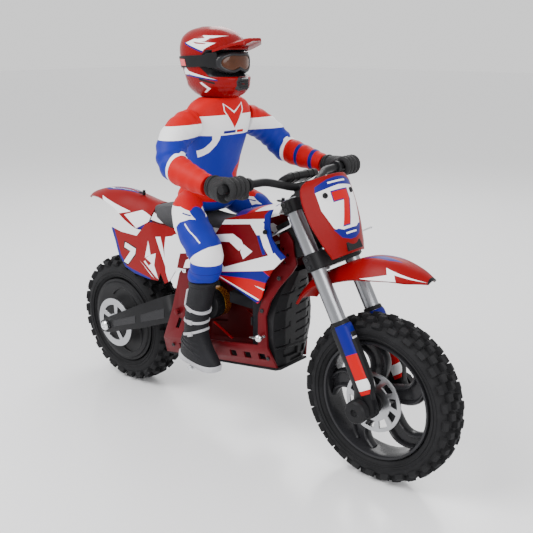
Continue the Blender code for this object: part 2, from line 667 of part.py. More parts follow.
def seat_and_covers():
    stations = []
    for x, top, wide, deep in ((64, 226, 15, 11), (80, 229, 18, 13), (105, 229.5, 18, 13),
                               (130, 227, 17, 12), (155, 225.5, 16, 12), (178, 228, 16, 12),
                               (196, 233, 15, 12)):
        ring = [Vector((x, -wide, top - deep)), Vector((x, -wide, top - 3)),
                Vector((x, -wide * 0.6, top)), Vector((x, wide * 0.6, top)),
                Vector((x, wide, top - 3)), Vector((x, wide, top - deep))]
        stations.append(ring)
    finish("seat", loft(stations), "bike", GREY, 0.75)
    bm = arched([(186, 236, 22, 9), (204, 241.5, 25, 10), (228, 247.5, 26, 10), (247, 253, 24, 9)], 1.6)
    finish("tank_cover", bm, "bike", RED, 0.35)
    stations = [(-66, 219.5, 6, 2), (-52, 227, 13, 5), (-26, 233.5, 20, 11), (5, 235, 23.5, 20),
                (30, 231.5, 25, 28), (50, 228, 25, 30), (63, 226.5, 24, 22)]
    finish("rear_fender", arched(stations, 1.8), "bike", RED, 0.35)
    stations = [(84, 156, 19, 3), (91, 166, 19, 3), (98, 178, 19, 3), (104, 192, 18, 3)]
    finish("inner_mudguard", arched(stations, 1.6), "bike", BLACK, 0.6)
    for name, side in (("footpeg_right", -1), ("footpeg_left", 1)):
        points = [(162, side * 26.9, 75), (162, side * 62, 75)]
        finish(name, sweep(points, 3.0, 10), "bike", STEEL, 0.4, 1.0)


# Rider figure.

def body_rings(levels, count=20, power=2.3):
    rings = []
    for z, x, deep, wide in levels:
        rings.append(oval((x, 0, z), (1, 0, 0), (0, 1, 0), deep, wide, count, power))
    return rings


def rider():
    torso = body_rings([(256, 134, 23, 29), (262, 136, 23, 30), (285, 142, 21.5, 31.5),
                        (305, 146.5, 22.5, 35), (322, 149, 22, 39.5), (333, 150, 20.5, 39.3),
                        (341, 151, 18, 34), (346, 152, 16, 24)])
    finish("torso", loft(torso), "bike", BLUE, 0.6)
    trousers = body_rings([(231, 129, 22, 22), (236, 130, 26, 30), (247, 131, 26, 32),
                           (255.3, 133, 23.5, 30)])
    legs = finish("trousers", loft(trousers), "bike", WHITE, 0.6)
    leg_knots = [(127, 20, 241), (137, 33, 238), (150, 45, 230), (164, 50.5, 218), (180, 53, 201),
                 (181, 53, 187), (176.6, 52.3, 177), (176.6, 52.3, 171.8)]
    sizes = [12, 15.2, 17, 17.4, 17.2, 16, 15.2, 15]
    for side in (-1, 1):
        points = [(x, side * y, z) for x, y, z in leg_knots]
        join(legs, sweep(points, sizes, 14), "bike", "leg_shape")
    for name, side in (("boot_right", -1), ("boot_left", 1)):
        knots = [(176, 171), (168.5, 147), (164.4, 122), (168.5, 101), (169, 91), (167.5, 77.8)]
        sizes = [(13.2, 13.0), (12.6, 12.4), (12.3, 11.8), (22, 11.2), (26, 11.0), (27, 10.6)]
        rings = []
        for (x, z), (deep, wide) in zip(knots, sizes):
            lean = Vector((1, 0, 0)) if z > 105 else Vector((0.99, 0, -0.139))
            rings.append(oval((x, side * 52, z), lean, (0, 1, 0), deep, wide, 16, 2.2))
        finish(name, loft(rings), "bike", BLACK, 0.6)
    for name, side in (("sleeve_right", -1), ("sleeve_left", 1)):
        knots = [(150, 40.6, 326), (151, 48, 324), (154, 63, 315), (160, 75, 301), (169, 81, 289),
                 (186, 84, 283), (204, 85.5, 279), (219, 86, 276)]
        radii = [(14, 15), (15, 15.5), 15, 14.5, 14, 13, 11.5, 9.5]
        points = [(x, side * y, z) for x, y, z in knots]
        finish(name, sweep(points, radii, 14), "bike", BLUE, 0.6)
    for name, side in (("glove_right", -1), ("glove_left", 1)):
        rings = []
        for x, z, deep, tall in ((221.6, 276, 8.6, 8.6), (229, 275, 11, 10.5), (240, 274, 12.5, 12.5),
                                 (250, 274.5, 12.5, 12), (258, 275, 10.5, 8.6)):
            rings.append(oval((x, side * 85, z), (0, 1, 0), (0, 0, 1), deep, tall, 16, 2.6))
        glove = finish(name, loft(rings), "steering_axis", GREY, 0.8, space="bike")
        points = [(249.2, side * 60, 277.5), (249.0, side * 110, 277.5)]
        cutter = sweep(points, 4.1, 10)
        cutter.transform(FRAMES["steering_axis"][1].inverted())
        cut(glove, cutter, "steering_axis", "grip_hole")


def helmet():
    levels = [(346.5, 152, 20, 16), (350, 152, 27, 20), (356, 151, 33, 24), (364, 150, 33.5, 26.5),
              (367, 144, 31.5, 27.3), (380, 142.5, 31, 28.5), (391.5, 142, 31.5, 28.5),
              (394, 144, 34.5, 28.5), (404, 143, 30, 24.5), (410, 143, 22, 18), (413.4, 144, 10, 9)]
    finish("helmet", loft(body_rings(levels, 20, 2.3)), "bike", RED, 0.25)
    rings = []
    for x, z, wide in ((180.3, 396, 23), (190, 400, 21), (203, 402.8, 13)):
        ring = []
        for k in range(7):
            s = -1 + k / 3
            ring.append(Vector((x - 5 * s * s, wide * s, z - 3.5 * s * s)))
        for k in range(6, -1, -1):
            s = -1 + k / 3
            ring.append(Vector((x - 5 * s * s, wide * s, z - 3.5 * s * s - 1.8)))
        rings.append(ring)
    finish("helmet_peak", loft(rings), "bike", RED, 0.25)
    rings = []
    for y in (-24.5, -22, -17, -11, -4, 4, 11, 17, 22, 24.5):
        back = 178.0 - 11.0 * (abs(y) / 24.5) ** 2.7
        tall = 10.5 - 4.5 * (abs(y) / 24.5) ** 4
        rings.append(oval((back, y, 379.5), (1, 0, 0), (0, 0, 1), 3.2, tall, 12, 4.0))
    finish("goggles", loft(rings), "bike", BLACK, 0.2)


def main():
    clear_scene()
    add_frame("bike", (0, 0, 0))
    add_frame("steering_axis", STEERING_FOOT, tilted=True)
    add_frame("fork_travel_axis", STEERING_FOOT, tilted=True)
    add_frame("servo_axis", STEERING_FOOT + SERVO_AHEAD * AHEAD, tilted=True)
    add_frame("front_wheel_axis", FRONT_AXLE)
    add_frame("rear_wheel_axis", (0, 0, REAR_RADIUS))
    add_frame("swingarm_axis", (PIVOT[0], 0, PIVOT[1]))
    add_frame("countershaft_axis", (PIVOT[0], 0, PIVOT[1]))
    motor = motor_centre()
    add_frame("motor_axis", (motor[0], 0, motor[1]))
    add_frame("shock_axis", (SHOCK_TOP[0], 0, SHOCK_TOP[1]))
    lean = math.atan2(SHOCK_TOP[0] - SHOCK_BOTTOM[0], SHOCK_TOP[1] - SHOCK_BOTTOM[1])
    FRAMES["shock_axis"][0].rotation_euler = (0.0, lean, 0.0)
    front_wheel()
    rear_wheel()
    drive()
    swingarm()
    shock()
    chassis_plates()
    front_cover()
    electronics()
    headstock()
    clamps()
    fork_legs()
    number_plate()
    front_fender()
    handlebar()
    side_panels()
    seat_and_covers()
    rider()
    helmet()


main()
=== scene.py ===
"""Looks of the radio-controlled dirt bike and its rider.

Lengths are millimetres in the bike's frame: X forward from the rear axle, Y to
the rider's left, Z up from the ground. Fork coordinates are (ahead, side,
along): ahead of the steering axis, to the left, and up along that axis.
"""

import json
from math import acos, atan2, copysign, cos, exp, hypot, pi, radians, sin, tau

import bmesh
import bpy
from mathutils import Matrix, Vector


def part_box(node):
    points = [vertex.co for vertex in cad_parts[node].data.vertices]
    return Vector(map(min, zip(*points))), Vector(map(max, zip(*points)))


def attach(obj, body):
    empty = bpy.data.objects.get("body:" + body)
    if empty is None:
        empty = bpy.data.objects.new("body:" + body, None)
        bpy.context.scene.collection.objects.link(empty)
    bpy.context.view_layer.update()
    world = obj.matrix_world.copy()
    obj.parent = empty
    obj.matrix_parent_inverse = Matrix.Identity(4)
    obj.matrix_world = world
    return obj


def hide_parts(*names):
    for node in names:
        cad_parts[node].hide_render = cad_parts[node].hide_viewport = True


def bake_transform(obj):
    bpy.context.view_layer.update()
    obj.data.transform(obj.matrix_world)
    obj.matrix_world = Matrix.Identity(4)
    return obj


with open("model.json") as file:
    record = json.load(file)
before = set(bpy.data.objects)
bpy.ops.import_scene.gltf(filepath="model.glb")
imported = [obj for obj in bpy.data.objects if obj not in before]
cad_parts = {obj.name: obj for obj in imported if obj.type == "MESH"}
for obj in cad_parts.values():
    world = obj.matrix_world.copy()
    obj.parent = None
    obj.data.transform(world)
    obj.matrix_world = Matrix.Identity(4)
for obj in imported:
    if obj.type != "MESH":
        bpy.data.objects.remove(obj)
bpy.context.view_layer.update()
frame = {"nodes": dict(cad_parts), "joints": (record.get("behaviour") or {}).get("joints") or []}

MM = 0.001
X_AXIS = Vector((1, 0, 0))
Y_AXIS = Vector((0, 1, 0))
Z_AXIS = Vector((0, 0, 1))


def middle(node):
    low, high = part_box(node)
    return (low + high) / 2


def joint(name):
    return next(j for j in frame["joints"] if j["name"] == name)


REAR_AXLE = middle("rear_tyre")
ORIGIN = Vector((REAR_AXLE.x, 0.0, 0.0))


def to_bike(point):
    """Row metres to bike millimetres."""
    return (Vector(point) - ORIGIN) / MM


def half_height(node):
    low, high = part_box(node)
    return (high.z - low.z) / 2 / MM


REAR_RADIUS = half_height("rear_tyre")
FRONT_RADIUS = half_height("front_tyre")
REAR = to_bike(middle("rear_tyre"))
FRONT = to_bike(middle("front_tyre"))
PIVOT = to_bike(middle("swingarm_bolt"))
FORK_FOOT = to_bike(joint("steering")["pos_m"])
ALONG = Vector(joint("steering")["axis"]).normalized()
AHEAD = Vector((ALONG.z, 0.0, -ALONG.x))
TUBE = to_bike(middle("fork_tube_left"))
TUBE_SIDE = TUBE.y
TUBE_AHEAD = (TUBE - FORK_FOOT).dot(AHEAD)
TUBE_RADIUS = 7.2
SHOCK_LENGTH = 62.48
UPPER_SEAT = 11.9
LOWER_SEAT = 10.0
COIL_RADIUS = 6.7
COIL_TURNS = 6
CHAIN_PITCH = 6.35
SHELL = 1.8
CROWN = 2.4
SQUARISH = 2.3
EYE_HEIGHT = 379.5
FOOT_PITCH = radians(8)
FLOOR_REACH = 9000
RED = (0.20, 0.0008, 0.002)
BRIGHT_RED = (0.46, 0.002, 0.004)
DEEP_RED = (0.12, 0.001, 0.003)
ANODISED = (0.11, 0.004, 0.007)
BLUE = (0.006, 0.007, 0.17)
SUIT_BLUE = (0.010, 0.018, 0.26)
WHITE = (0.83, 0.83, 0.84)
BLACK = (0.006, 0.006, 0.007)
CHARCOAL = (0.012, 0.012, 0.013)
STEEL = (0.60, 0.61, 0.63)


def fork(ahead, side, along):
    return FORK_FOOT + AHEAD * ahead + Vector((0, side, 0)) + ALONG * along


def in_fork(point):
    away = Vector(point) - FORK_FOOT
    return Vector((away.dot(AHEAD), away.y, away.dot(ALONG)))


# Materials.

class Nodes:
    """A short way to wire a material's nodes."""

    def __init__(self, name):
        self.material = bpy.data.materials.new(name)
        self.material.use_nodes = True
        self.tree = self.material.node_tree
        self.shader = self.tree.nodes["Principled BSDF"]

    def add(self, kind, **settings):
        node = self.tree.nodes.new(kind)
        for key, value in settings.items():
            setattr(node, key, value)
        return node

    def feed(self, socket, value):
        if isinstance(value, bpy.types.NodeSocket):
            self.tree.links.new(value, socket)
        else:
            socket.default_value = value

    def maths(self, operation, a, b=None, c=None):
        node = self.add("ShaderNodeMath", operation=operation)
        for socket, value in zip(node.inputs, (a, b, c)):
            if value is not None:
                self.feed(socket, value)
        return node.outputs[0]

    def mix(self, mask, a, b):
        node = self.add("ShaderNodeMix", data_type="RGBA")
        self.feed(node.inputs[0], mask)
        for socket, value in ((node.inputs[6], a), (node.inputs[7], b)):
            self.feed(socket, (*value, 1.0) if isinstance(value, tuple) else value)
        return node.outputs[2]

    def noise(self, place, scale, detail=4.0, rough=0.55):
        node = self.add("ShaderNodeTexNoise")
        self.feed(node.inputs["Vector"], place)
        node.inputs["Scale"].default_value = scale
        node.inputs["Detail"].default_value = detail
        node.inputs["Roughness"].default_value = rough
        return node.outputs["Fac"]

    def span(self, value, low, high):
        node = self.add("ShaderNodeMapRange")
        self.feed(node.inputs["Value"], value)
        node.inputs["From Min"].default_value = 0.3
        node.inputs["From Max"].default_value = 0.7
        node.inputs["To Min"].default_value = low
        node.inputs["To Max"].default_value = high
        return node.outputs["Result"]


def half_space(nodes, place, normal, limit):
    dot = nodes.add("ShaderNodeVectorMath", operation="DOT_PRODUCT")
    nodes.feed(dot.inputs[0], place)
    dot.inputs[1].default_value = normal
    return nodes.maths("SUBTRACT", dot.outputs["Value"], limit)


PLANES = {"xz": (0, 2), "xy": (0, 1), "yz": (1, 2)}


def region(nodes, place, plane, points, extra=()):
    """A mask inside a convex outline seen along the plane's normal."""
    i, j = PLANES[plane]
    area = 0.0
    for k, (ax, ay) in enumerate(points):
        bx, by = points[(k + 1) % len(points)]
        area += ax * by - bx * ay
    turn = 1.0 if area > 0 else -1.0
    value = None
    sides = []
    for k, (ax, ay) in enumerate(points):
        bx, by = points[(k + 1) % len(points)]
        length = hypot(bx - ax, by - ay)
        nx, ny = -(by - ay) / length * turn, (bx - ax) / length * turn
        normal = [0.0, 0.0, 0.0]
        normal[i], normal[j] = nx, ny
        sides.append((tuple(normal), nx * ax + ny * ay))
    for normal, limit in [*sides, *extra]:
        side = half_space(nodes, place, normal, limit)
        value = side if value is None else nodes.maths("MINIMUM", value, side)
    return nodes.maths("GREATER_THAN", value, 0.0)


def finish_of(name, colour, rough=0.4, metal=0.0, coat=0.0, grain=0.25, bump=0.12, spread=0.08,
              tint=0.06, layers=(), cad=False, height=None):
    """A moulded, painted or metal finish with fine grain and printed layers.

    layers are (colour, plane, outline, extra half spaces), later ones on top.
    Places are millimetres: the mesh's own "rest" places, or a CAD node's.
    """
    nodes = Nodes(name)
    if cad:
        where = nodes.add("ShaderNodeTexCoord").outputs["Object"]
        scaled = nodes.add("ShaderNodeVectorMath", operation="SCALE")
        nodes.feed(scaled.inputs[0], where)
        scaled.inputs["Scale"].default_value = 1 / MM
        place = scaled.outputs[0]
    else:
        place = nodes.add("ShaderNodeAttribute", attribute_name="rest").outputs["Vector"]
    cloudy = nodes.noise(place, 0.045, 3.0)
    fine = nodes.noise(place, grain, 5.0, 0.6)
    dark = tuple(max(c * (1 - tint), 0.0) for c in colour)
    light = tuple(min(c * (1 + tint), 1.0) for c in colour)
    shade = nodes.mix(nodes.span(cloudy, 0.0, 1.0), dark, light)
    for layer in layers:
        ink, plane, outline = layer[:3]
        extra = layer[3] if len(layer) > 3 else ()
        shade = nodes.mix(region(nodes, place, plane, outline, extra), shade, ink)
    nodes.feed(nodes.shader.inputs["Base Color"], shade)
    nodes.feed(nodes.shader.inputs["Roughness"],
               nodes.span(fine, max(rough - spread, 0.03), rough + spread))
    nodes.shader.inputs["Metallic"].default_value = metal
    nodes.shader.inputs["Specular IOR Level"].default_value = 0.5 if metal > 0.5 else 0.12
    nodes.shader.inputs["Coat Weight"].default_value = coat
    nodes.shader.inputs["Coat Roughness"].default_value = 0.08
    if bump:
        node = nodes.add("ShaderNodeBump")
        node.inputs["Strength"].default_value = bump
        node.inputs["Distance"].default_value = 0.0004
        nodes.feed(node.inputs["Height"], fine if height is None else height(nodes, place))
        nodes.feed(nodes.shader.inputs["Normal"], node.outputs["Normal"])
    return nodes.material


def sticker(name, layers, rough=0.36):
    """Red shell plastic under printed graphics."""
    return finish_of(name, RED, rough, 0, 0.0, 0.35, 0.02, 0.03, 0.02, layers)


def woven(nodes, place):
    """Fine ribs and soft folds for the riding suit."""
    folds = nodes.noise(place, 0.10, 3.0, 0.5)
    fine = nodes.noise(place, 1.6, 3.0, 0.6)
    return nodes.maths("ADD", nodes.maths("MULTIPLY", folds, 2.2), nodes.maths("MULTIPLY", fine, 0.25))


def pebbled(nodes, place):
    """Rubber skin: small pits over a soft waviness."""
    cells = nodes.add("ShaderNodeTexVoronoi")
    nodes.feed(cells.inputs["Vector"], place)
    cells.inputs["Scale"].default_value = 0.9
    return nodes.maths("ADD", cells.outputs["Distance"], nodes.noise(place, 0.3, 3.0))


MATS = {
    "tyre": finish_of("tyre rubber", (0.014, 0.014, 0.015), 0.72, 0, 0, 0.5, 0.5, 0.1, 0.2,
                      height=pebbled),
    "black": finish_of("black nylon", CHARCOAL, 0.42, 0, 0, 0.9, 0.25, 0.07, 0.12),
    "satin": finish_of("satin black", (0.018, 0.018, 0.020), 0.30, 0, 0.2, 0.7, 0.12, 0.06, 0.1),
    "red": finish_of("red shell", RED, 0.30, 0, 0.15, 0.35, 0.05, 0.05, 0.05),
    "anodised_cad": finish_of("anodised side plate", ANODISED, 0.36, 0.25, 0, 1.6, 0.10, 0.06, 0.06,
                              cad=True),
    "black_cad": finish_of("black moulding", CHARCOAL, 0.45, 0, 0, 0.9, 0.25, 0.07, 0.12, cad=True),
    "steel_cad": finish_of("machined steel", STEEL, 0.28, 1.0, 0, 1.2, 0.1, 0.08, 0.08, cad=True),
    "electronics": finish_of("component case", (0.012, 0.012, 0.015), 0.5, 0, 0, 0.8, 0.2, 0.08, 0.1,
                             cad=True),
    "white_cad": finish_of("white nylon", WHITE, 0.5, 0, 0, 0.8, 0.15, 0.08, 0.05, cad=True),
    "spring": finish_of("spring paint", RED, 0.35, 0, 0.1, 1.0, 0.1, 0.06, 0.06),
    "gold": finish_of("gold anodised", (0.80, 0.36, 0.03), 0.28, 0.8, 0, 1.0, 0.08, 0.06, 0.08),
    "steel": finish_of("brushed steel", STEEL, 0.27, 1.0, 0, 1.2, 0.1, 0.08, 0.08),
    "disc": finish_of("ground disc", (0.40, 0.405, 0.42), 0.34, 1.0, 0, 1.2, 0.1, 0.08, 0.08),
    "chrome": finish_of("bright steel", (0.78, 0.79, 0.80), 0.12, 1.0, 0, 1.0, 0.04, 0.04, 0.04),
    "tube": finish_of("satin slider", (0.26, 0.265, 0.28), 0.34, 1.0, 0, 0.8, 0.06, 0.06, 0.06),
    "pale": finish_of("pale trim", (0.40, 0.40, 0.42), 0.45, 0, 0, 0.9, 0.2, 0.08, 0.08),
    "boot": finish_of("boot leather", (0.013, 0.013, 0.015), 0.5, 0, 0, 0.5, 0.5, 0.1, 0.2,
                      height=pebbled),
    "glove": finish_of("glove rubber", (0.020, 0.020, 0.021), 0.55, 0, 0, 0.6, 0.8, 0.12, 0.25,
                       height=pebbled),
    "seat": finish_of("seat cover", (0.055, 0.055, 0.058), 0.62, 0, 0, 0.9, 0.5, 0.08, 0.15,
                      height=pebbled),
    "pink": finish_of("strap badge", (0.70, 0.12, 0.13), 0.45, 0, 0, 0.8, 0.2, 0.06, 0.06),
}


# Shape builders, in millimetres.

def loft(rings, bm=None):
    """Skin closed rings of equal count and cap both ends."""
    bm = bm or bmesh.new()
    rows = [[bm.verts.new(p) for p in ring] for ring in rings]
    count = len(rows[0])
    for low, high in zip(rows, rows[1:]):
        for k in range(count):
            nxt = (k + 1) % count
            bm.faces.new((low[k], low[nxt], high[nxt], high[k]))
    bm.faces.new(list(reversed(rows[0])))
    bm.faces.new(rows[-1])
    return bm


def lathe(profile, segments=96, bm=None):
    """Turn a closed (radius, side) outline about the Y axis."""
    bm = bm or bmesh.new()
    rows = []
    for step in range(segments):
        turn = tau * step / segments
        rows.append([bm.verts.new((r * cos(turn), y, r * sin(turn))) for r, y in profile])
    count = len(profile)
    for step in range(segments):
        here, there = rows[step], rows[(step + 1) % segments]
        for k in range(count):
            nxt = (k + 1) % count
            bm.faces.new((here[k], here[nxt], there[nxt], there[k]))
    return bm


def circle(centre, radius, count=32):
    points = []
    for k in range(count):
        turn = tau * k / count
        points.append((centre[0] + radius * cos(turn), centre[1] + radius * sin(turn)))
    return points


def ring_of_holes(reach, radius, count):
    """Six round outlines on a circle, the first one forward."""
    turns = [tau * k / 6 for k in range(6)]
    return [circle((reach * cos(turn), reach * sin(turn)), radius, count) for turn in turns]


def prism(outline, holes, low, high, plane="xz", bends=(), shift=None, bm=None):
    """Extrude a flat outline with holes, with optional folds."""
    work = bmesh.new()
    lift = Y_AXIS if plane == "xz" else Z_AXIS

    def spot(pair):
        if plane == "xz":
            return Vector((pair[0], 0.0, pair[1]))
        return Vector((pair[0], pair[1], 0.0))

    edges = []
    for loop in [outline, *holes]:
        verts = [work.verts.new(spot(p)) for p in loop]
        for k, vert in enumerate(verts):
            edges.append(work.edges.new((vert, verts[(k + 1) % len(verts)])))
    bmesh.ops.triangle_fill(work, edges=edges, use_beauty=True)
    for point, normal in bends:
        geometry = work.verts[:] + work.edges[:] + work.faces[:]
        bmesh.ops.bisect_plane(work, geom=geometry, plane_co=spot(point), plane_no=spot(normal))
    result = bmesh.ops.extrude_face_region(work, geom=work.faces[:])
    lifted = {g for g in result["geom"] if isinstance(g, bmesh.types.BMVert)}
    for vert in work.verts:
        vert.co += lift * (high if vert in lifted else low)
    if shift:
        for vert in work.verts:
            vert.co += lift * shift(vert.co)
    bmesh.ops.recalc_face_normals(work, faces=work.faces)
    return work if bm is None else merge(bm, work)


def merge(bm, other):
    mesh = bpy.data.meshes.new("scratch")
    other.to_mesh(mesh)
    other.free()
    bm.from_mesh(mesh)
    bpy.data.meshes.remove(mesh)
    return bm


def flatten(value, power):
    """Raise to a power and keep the sign, to square up or pinch a circle."""
    return copysign(abs(value) ** power, value)


def oval(centre, across, up, wide, tall, count=20, power=2.0):
    points = []
    for k in range(count):
        turn = tau * (k + 0.5) / count
        a = flatten(cos(turn), 2 / power)
        b = flatten(sin(turn), 2 / power)
        points.append(Vector(centre) + Vector(across) * wide * a + Vector(up) * tall * b)
    return points


def sweep(points, radii, sides=16, bm=None, first=None):
    """A bar along points; a radius may be one number or a (wide, tall) pair."""
    points = [Vector(p) for p in points]
    if not isinstance(radii, (list, tuple)):
        radii = [radii] * len(points)
    rings = []
    normal = Vector(first) if first else None
    for k, point in enumerate(points):
        before = points[max(k - 1, 0)]
        after = points[min(k + 1, len(points) - 1)]
        along = (after - before).normalized()
        if normal is None:
            seed = Z_AXIS if abs(along.z) < 0.8 else X_AXIS
            normal = along.cross(seed).normalized()
        normal = (normal - along * normal.dot(along)).normalized()
        size = radii[k]
        wide, tall = size if isinstance(size, tuple) else (size, size)
        rings.append(oval(point, normal, along.cross(normal), wide, tall, sides))
    return loft(rings, bm)


def curve_through(knots, steps=4):
    """Points on a Catmull-Rom curve through tuples of any length."""
    size = len(knots[0])
    ends = [tuple(2 * knots[0][i] - knots[1][i] for i in range(size))]
    tail = [tuple(2 * knots[-1][i] - knots[-2][i] for i in range(size))]
    padded = ends + [tuple(k) for k in knots] + tail
    points = []
    for n in range(1, len(padded) - 2):
        a, b, c, d = padded[n - 1:n + 3]
        for step in range(steps):
            t = step / steps
            points.append(tuple(
                0.5 * (2 * b[i] + (c[i] - a[i]) * t + (2 * a[i] - 5 * b[i] + 4 * c[i] - d[i]) * t * t
                       + (3 * b[i] - a[i] - 3 * c[i] + d[i]) * t ** 3) for i in range(size)))
    points.append(tuple(knots[-1]))
    return points


def arched(stations, thickness, count):
    """A thin crowned channel along (x, z, half width, side drop) stations."""
    rings = []
    for k, (x, z, wide, drop) in enumerate(stations):
        before = stations[max(k - 1, 0)]
        after = stations[min(k + 1, len(stations) - 1)]
        along = Vector((after[0] - before[0], 0.0, after[1] - before[1])).normalized()
        out = Vector((-along.z, 0.0, along.x))
        outer, inner = [], []
        for step in range(count + 1):
            s = -1 + 2 * step / count
            fall = drop * abs(s) ** CROWN
            outer.append(Vector((x, wide * s, z)) - out * fall)
            inner.append(Vector((x, (wide - thickness) * s, z)) - out * (fall + thickness))
        rings.append(outer + list(reversed(inner)))
    return loft(rings)


def block(bm, centre, axes, sizes, taper=1.0):
    """A box on three axes, its top (third axis) scaled by taper."""
    corners = []
    for w in (-1, 1):
        scale = taper if w > 0 else 1.0
        for u, v in ((-1, -1), (1, -1), (1, 1), (-1, 1)):
            offset = axes[0] * u * sizes[0] / 2 * scale + axes[1] * v * sizes[1] / 2 * scale
            corners.append(bm.verts.new(centre + offset + axes[2] * w * sizes[2] / 2))
    for face in ((0, 3, 2, 1), (4, 5, 6, 7), (0, 1, 5, 4), (1, 2, 6, 5), (2, 3, 7, 6), (3, 0, 4, 7)):
        bm.faces.new([corners[k] for k in face])
    return bm


def ramp(value, low, high):
    return min(max((value - low) / (high - low), 0.0), 1.0)


def soften(thing, width, segments, angle):
    """Round every edge that is sharper than an angle in degrees."""
    edge = thing.modifiers.new("edge", "BEVEL")
    edge.width = width * MM
    edge.segments = segments
    edge.limit_method = "ANGLE"
    edge.angle_limit = radians(angle)
    edge.harden_normals = True


def piece(name, bm, material, body, node=None, bevel=0.0, at=None, turn=None,
          segments=2, angle=32.0, rest=None, stay=False):
    """Make a mesh piece from millimetres, soften its edges, and hang it on its body."""
    bmesh.ops.recalc_face_normals(bm, faces=bm.faces)
    if turn is not None:
        bm.transform(turn)
    if at is not None:
        bm.transform(Matrix.Translation(Vector(at)))
    mesh = bpy.data.meshes.new(name)
    bm.to_mesh(mesh)
    bm.free()
    store = mesh.attributes.new("rest", "FLOAT_VECTOR", "POINT")
    for item, vert in zip(store.data, mesh.vertices):
        item.vector = rest(vert.co) if rest else vert.co
    mesh.transform(Matrix.Translation(ORIGIN) @ Matrix.Scale(MM, 4))
    thing = bpy.data.objects.new(name, mesh)
    bpy.context.scene.collection.objects.link(thing)
    mesh.materials.append(MATS[material] if isinstance(material, str) else material)
    mesh.shade_smooth()
    if bevel:
        soften(thing, bevel, segments, angle)
    else:
        mesh.set_sharp_from_angle(angle=radians(angle))
    if not stay:
        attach(thing, body)
    if node:
        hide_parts(*([node] if isinstance(node, str) else node))
    return thing


def dress_cad(node, material, bevel=0.35):
    """Give a kept CAD node its finish, and a small bevel on its hard edges."""
    thing = frame["nodes"][node]
    thing.data.materials.clear()
    thing.data.materials.append(MATS[material])
    thing.data.shade_smooth()
    weld = thing.modifiers.new("weld", "WELD")
    weld.merge_threshold = 0.00001
    if bevel:
        soften(thing, bevel, 2, 35)


def screw(name, spot, out, radius, body, material="steel", depth=2.2):
    """A round cap screw with a hex socket, standing on a surface."""
    bm = lathe([(0.34 * radius, 0.0), (radius, 0.0), (radius, depth * 0.7), (0.86 * radius, depth),
                (0.42 * radius, depth), (0.34 * radius, depth * 0.4)], 24)
    socket = circle((0, 0), 0.40 * radius, 6)
    prism(socket, [], 0.0, depth * 0.4, bm=bm)
    turn = Y_AXIS.rotation_difference(Vector(out).normalized()).to_matrix().to_4x4()
    piece(name, bm, material, body, at=spot, turn=turn)


def sides():
    return (("right", -1), ("left", 1))


# Wheels.

def tyre(name, radius, half, bead, count, body, centre):
    """Knobbly tyre: a ribbed carcass with rows of tapered blocks."""
    carcass = []
    for k in range(21):
        turn = pi * k / 20
        swell = sin(turn) ** 0.7 if 0 < k < 20 else 0.0
        carcass.append((bead + 6 + (radius - 4.6 - bead - 6) * swell, -(half - 1.8) * cos(turn)))
    carcass += [(bead + 2.0, half * 0.80), (bead, half * 0.66), (bead, -half * 0.66),
                (bead + 2.0, -half * 0.80)]
    bm = lathe(carcass, 120)
    pitch = tau / count
    rows = ((0.14, 0.0, 0.26, 0.46, 0.0), (0.50, 0.5, 0.27, 0.46, 0.34), (0.82, 0.0, 0.24, 0.54, 0.85))
    for side in (-1, 1):
        for where, offset, wide, long_, lean in rows:
            for k in range(count):
                turn = pitch * (k + offset + (0.25 if side > 0 else 0.0))
                radial = Vector((cos(turn), 0, sin(turn)))
                round_ = Vector((-sin(turn), 0, cos(turn)))
                up = radial * cos(lean) + Vector((0, side, 0)) * sin(lean)
                over = Vector((0, side, 0)) * cos(lean) - radial * sin(lean)
                y = side * where * half
                reach = radius - 3.1 - (1 - cos(lean)) * (radius - bead) * 0.52
                spot = radial * reach + Vector((0, y * (1.0 - 0.06 * lean), 0))
                sizes = (wide * half * 1.35, pitch * radius * long_, 6.2 - 1.2 * lean)
                block(bm, spot, (over, round_, up), sizes, 0.80)
    for side in (-1, 1):
        for ring, size in ((bead + 4.5, 0.8), (bead + 8.0, 0.6)):
            y = side * half * 0.93
            profile = [(ring - size, y - side), (ring + size, y - side),
                       (ring + size * 0.6, y + side * 0.1),
                       (ring - size * 0.6, y + side * 0.1)]
            lathe(profile, 120, bm)
    piece(name, bm, "tyre", body, node=name, at=centre, bevel=0.5, segments=1, angle=40)


